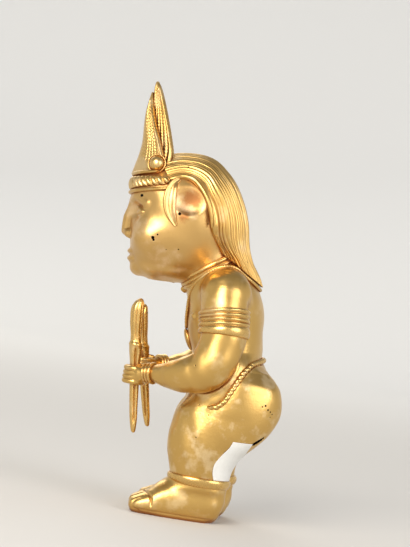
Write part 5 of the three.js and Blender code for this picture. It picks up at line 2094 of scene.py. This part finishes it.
@dataclass
class Label:
    """A bare paper sticker round the outer side and the back of the left shin."""

    body: Body
    levels: tuple[float, float] = (12.9, 24.8)
    lift: float = 0.08
    thick: float = 0.14
    left_edge: tuple[tuple[float, float], ...] = (
        (12.0, -2.4), (15.0, -3.3), (17.4, -3.2), (20.2, -1.7), (23.0, 0.3), (25.0, 1.1),
    )
    right_edge: tuple[tuple[float, float], ...] = ((12.0, 1.6), (24.8, 6.2))
    wrap: float = 14.0  # degrees by which it goes round behind the shin

    def skin(self) -> Skin:
        """The leg's own surface between two levels and two angles, raised by the paper.

        Returns:
            The surface.
        """
        leg = self.body.leg(Side.LEFT)
        z = np.linspace(*self.levels, 70)
        middle, deep, _ = leg.sizes(z)
        centre = np.stack([self.body.leg_x + 0 * z, middle, z], -1)

        def field_of(p: Array) -> Array:
            """Leg and hips in one."""
            return joined(self.body.lower(p), leg.distance(p), 3.0)

        def turned_to(edge: tuple[tuple[float, float], ...]) -> Array:
            """The angles whose rays leave the leg at the y of an edge, found by going back and forth.

            Args:
                edge: The edge's z and y at a few heights.

            Returns:
                The angle at each level.
            """
            table = np.array(edge)
            aim = eased(table[:, 0], table[:, 1:], z)[:, 0] - middle
            angle = np.arcsin(np.clip(aim / deep, -1, 1))
            for _ in range(5):
                way = np.stack([np.cos(angle), np.sin(angle), 0 * angle], -1)
                angle = np.arcsin(np.clip(aim / Rays(centre, way).reach(field_of, 24, 24), -1, 1))
            return angle

        start, end = turned_to(self.left_edge), turned_to(self.right_edge)
        end = end + math.radians(self.wrap) * smooth_step(end, 1.2, 1.57)
        share = np.linspace(0, 1, 90)[None, :]
        angle = start[:, None] * (1 - share) + end[:, None] * share
        way = np.stack([np.cos(angle), np.sin(angle), 0 * angle], -1)
        rays = Rays(np.broadcast_to(centre[:, None], way.shape), way)
        reach = rays.reach(field_of, 24, 24)
        outer = rays.start + (reach + self.lift + self.thick)[..., None] * way
        inner = rays.start + (reach + self.lift)[..., None] * way
        return Skin(np.concatenate([outer, inner[:, ::-1]], 1))


# The studio


@dataclass(frozen=True)
class SoftBox:
    """A round soft lamp: its name, its place and its diameter in metres, its watts and its tint."""

    name: str
    place: tuple[float, float, float]
    size: float
    watts: float
    tint: str


@dataclass
class Studio:
    """A pale sweep under the figure, soft lamps, and the camera of the photograph."""

    distance: float = 600.0
    aim: tuple[float, float] = (-14.74, 70.9)  # the picture's middle on the middle plane, y and z
    height_mm: float = 160.7  # what the picture's height takes in there
    roll: float = math.radians(9.46)
    middle: tuple[float, float, float] = (0, 0, 0.062)  # what the lamps point at, in metres
    lamps: tuple[SoftBox, ...] = (
        SoftBox("key_softbox", (0.86, -0.34, 0.5), 0.6, 9.0, "#fffaf2"),
        SoftBox("side_softbox", (0.62, 0.72, 0.42), 0.7, 4.0, "#fdfbff"),
        SoftBox("far_softbox", (-0.9, -0.3, 0.8), 0.8, 4.0, "#fffdf8"),
    )
    sweep_radius: tuple[float, float] = (0.02, 2.62)  # its innermost and outermost ring, in metres
    sweep_flat: float = 1.1  # where it begins to rise
    sweep_height: float = 1.6
    sky_seen: tuple[str, float] = ("#eceae6", 0.42)  # tint and strength to the camera and the metal
    sky_light: tuple[str, float] = ("#ececec", 0.74)  # tint and strength as light

    def camera(self) -> None:
        """Looks at the figure's left side along -X, with the figure leaning to the right."""
        data = bpy.data.cameras.new("camera")
        data.sensor_fit = "VERTICAL"
        data.sensor_height = 24.0
        data.lens = data.sensor_height * self.distance / self.height_mm
        data.clip_start, data.clip_end = 0.01, 50.0
        made = bpy.data.objects.new("camera", data)
        right = Vector((0, math.cos(self.roll), math.sin(self.roll)))
        up = Vector((0, -math.sin(self.roll), math.cos(self.roll)))
        turn = Matrix((right, up, Vector((1, 0, 0)))).transposed().to_4x4()
        y, z = self.aim
        place = Vector((self.distance, y + DRAWN_TO_BOX[1], z)) * MM
        made.matrix_world = Matrix.Translation(place) @ turn
        bpy.context.scene.collection.objects.link(made)
        bpy.context.scene.camera = made

    def lamp(self, box: SoftBox) -> None:
        """Hangs a round soft lamp aimed at the figure's middle.

        Args:
            box: What it is and where it hangs.
        """
        data = bpy.data.lights.new(box.name, "AREA")
        data.shape = "DISK"
        data.size = box.size
        data.energy = box.watts
        data.color = linear(box.tint)[:3]
        made = bpy.data.objects.new(box.name, data)
        made.location = box.place
        aim = Vector(self.middle) - Vector(box.place)
        made.rotation_euler = aim.to_track_quat("-Z", "Y").to_euler()
        bpy.context.scene.collection.objects.link(made)

    def sweep(self) -> None:
        """A round floor that curves up far away, so that no edge shows from any side."""
        share = np.linspace(0, 1, 80)[:, None]
        inner, outer = self.sweep_radius
        radius = inner + (outer - inner) * share
        height = self.sweep_height * smooth_step(radius, self.sweep_flat, outer) * share
        angle = around(96)[None, :]
        points = np.stack([radius * np.cos(angle), radius * np.sin(angle), height + 0 * angle], -1)
        rows, columns = points.shape[:2]
        i, j = np.arange(rows - 1)[:, None] * columns, np.arange(columns)[None, :]
        k, n = (j + 1) % columns, i + columns
        quads = np.stack([i + j, n + j, n + k, i + k], -1)
        pole = np.stack([j[0], k[0], np.full(columns, rows * columns)], -1)
        mesh = bpy.data.meshes.new("studio_sweep")
        flat = np.concatenate([points.reshape(-1, 3), [[0, 0, 0]]])
        mesh.from_pydata(flat.tolist(), [], quads.reshape(-1, 4).tolist() + pole.tolist())
        mesh.polygons.foreach_set("use_smooth", np.ones(len(mesh.polygons), bool))
        made = bpy.data.objects.new("studio_sweep", mesh)
        bpy.context.scene.collection.objects.link(made)
        mesh.materials.append(StudioCard().make())

    def world(self) -> None:
        """An even pale sky, dimmer where the camera and the metal see it than as light."""
        world = bpy.data.worlds.new("soft_studio")
        world.use_nodes = True
        tree = world.node_tree
        tree.nodes.clear()
        path = add(tree, "ShaderNodeLightPath")
        first = add(
            tree, "ShaderNodeMath",
            links={0: path.outputs["Is Camera Ray"], 1: path.outputs["Is Glossy Ray"]},
            operation="MAXIMUM",
        )
        seen = add(
            tree, "ShaderNodeMath",
            links={0: first.outputs["Value"], 1: path.outputs["Is Transmission Ray"]},
            operation="MAXIMUM",
        )
        light, view = (
            add(tree, "ShaderNodeBackground", {"Color": linear(tint), "Strength": strength})
            for tint, strength in (self.sky_light, self.sky_seen)
        )
        mixed = add(
            tree, "ShaderNodeMixShader",
            links={0: seen.outputs["Value"], 1: light.outputs[0], 2: view.outputs[0]},
        )
        add(tree, "ShaderNodeOutputWorld", links={"Surface": mixed.outputs[0]})
        bpy.context.scene.world = world

    def build(self) -> None:
        """Sets up the camera, the sweep, the lamps and the sky."""
        self.camera()
        self.sweep()
        for box in self.lamps:
            self.lamp(box)
        self.world()
        bpy.context.scene.view_settings.view_transform = "Standard"


# The whole figure


def build_side(body: Body, finishes: Finishes, side: Side) -> None:
    """Makes one side's ear, arm, bands, hand, staff, leg and foot.

    Args:
        body: The shared forms.
        finishes: The shared materials.
        side: Which side.
    """
    arm, leg = body.arm(side), body.leg(side)
    upper = arm.at(np.linspace(*body.armband_span, 90))
    wrist = arm.at(np.linspace(*body.bracelet_span, 50))
    z = np.linspace(*body.anklet_levels, 40)
    ankle = upright(body.leg_x, leg.sizes(z)[0], z)
    armband = LimbBand(upper, arm.distance, BandProfile.ARMBAND, rise=1.0, far=12)
    bracelet = LimbBand(wrist, arm.distance, BandProfile.BRACELET, rise=0.9, far=6)
    anklet = LimbBand(ankle, leg.distance, BandProfile.ANKLET, rise=0.9, far=14)
    cast, bright = "cast_alloy", "polished_relief"
    for name, skin, finish, slot, node in (
        ("side_ear_", Ear(body, side).skin(), finishes.head, cast, "ear_"),
        ("lower_arm_", Arm(body, side).skin(), finishes.body, cast, "arm_"),
        ("upper_band_", armband.skin().mirrored(side), finishes.relief, bright, "armband_"),
        ("wrist_band_", bracelet.skin().mirrored(side), finishes.relief, bright, "bracelet_"),
        ("ankle_band_", anklet.skin().mirrored(side), finishes.relief, bright, "anklet_"),
        ("fist_", Fist(body, side).skin(), finishes.body, cast, "hand_"),
        ("rod_", Staff(side).skin(), finishes.relief, bright, "staff_"),
        ("thigh_and_shin_", LowerBody(body).skin(side), finishes.legs, cast, "leg_"),
        ("bare_foot_", Foot(body, side).skin(), finishes.body, cast, "foot_"),
    ):
        make_piece(name + side.tag, [skin], finish, [node + side.tag])


def build_figure(finishes: Finishes) -> None:
    """Makes every piece of the figure in order.

    Args:
        finishes: The shared materials.
    """
    body = Body()
    torso = Torso(body)
    hair = Hair()
    strands = [hair.skin(), *(hair.brow_ridge(side) for side in Side)]
    make_piece("head_and_neck", [Head(body).skin()], finishes.head, ["head_shell"])
    make_piece("long_hair", strands, finishes.body, ["hair_mantle"])
    Headdress(body, finishes).build()
    make_piece("torso_and_shoulders", torso.skins(), finishes.body, ["torso_shell"])
    for side in Side:
        build_side(body, finishes, side)
    Ornaments(body, torso, finishes).build()
    make_piece("blank_label", [Label(body).skin()], finishes.paper, ["label_sticker"])
    for node in ("head_core", "torso_core", "hips_core"):
        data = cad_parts[node].data
        data.materials.clear()
        data.materials.append(finishes.clay)


def main() -> None:
    """Builds the studio and the figure, and logs how many faces each piece has."""
    logging.basicConfig(level=logging.INFO, format="%(message)s")
    Studio().build()
    build_figure(Finishes())


if __name__ == "__main__":
    main()
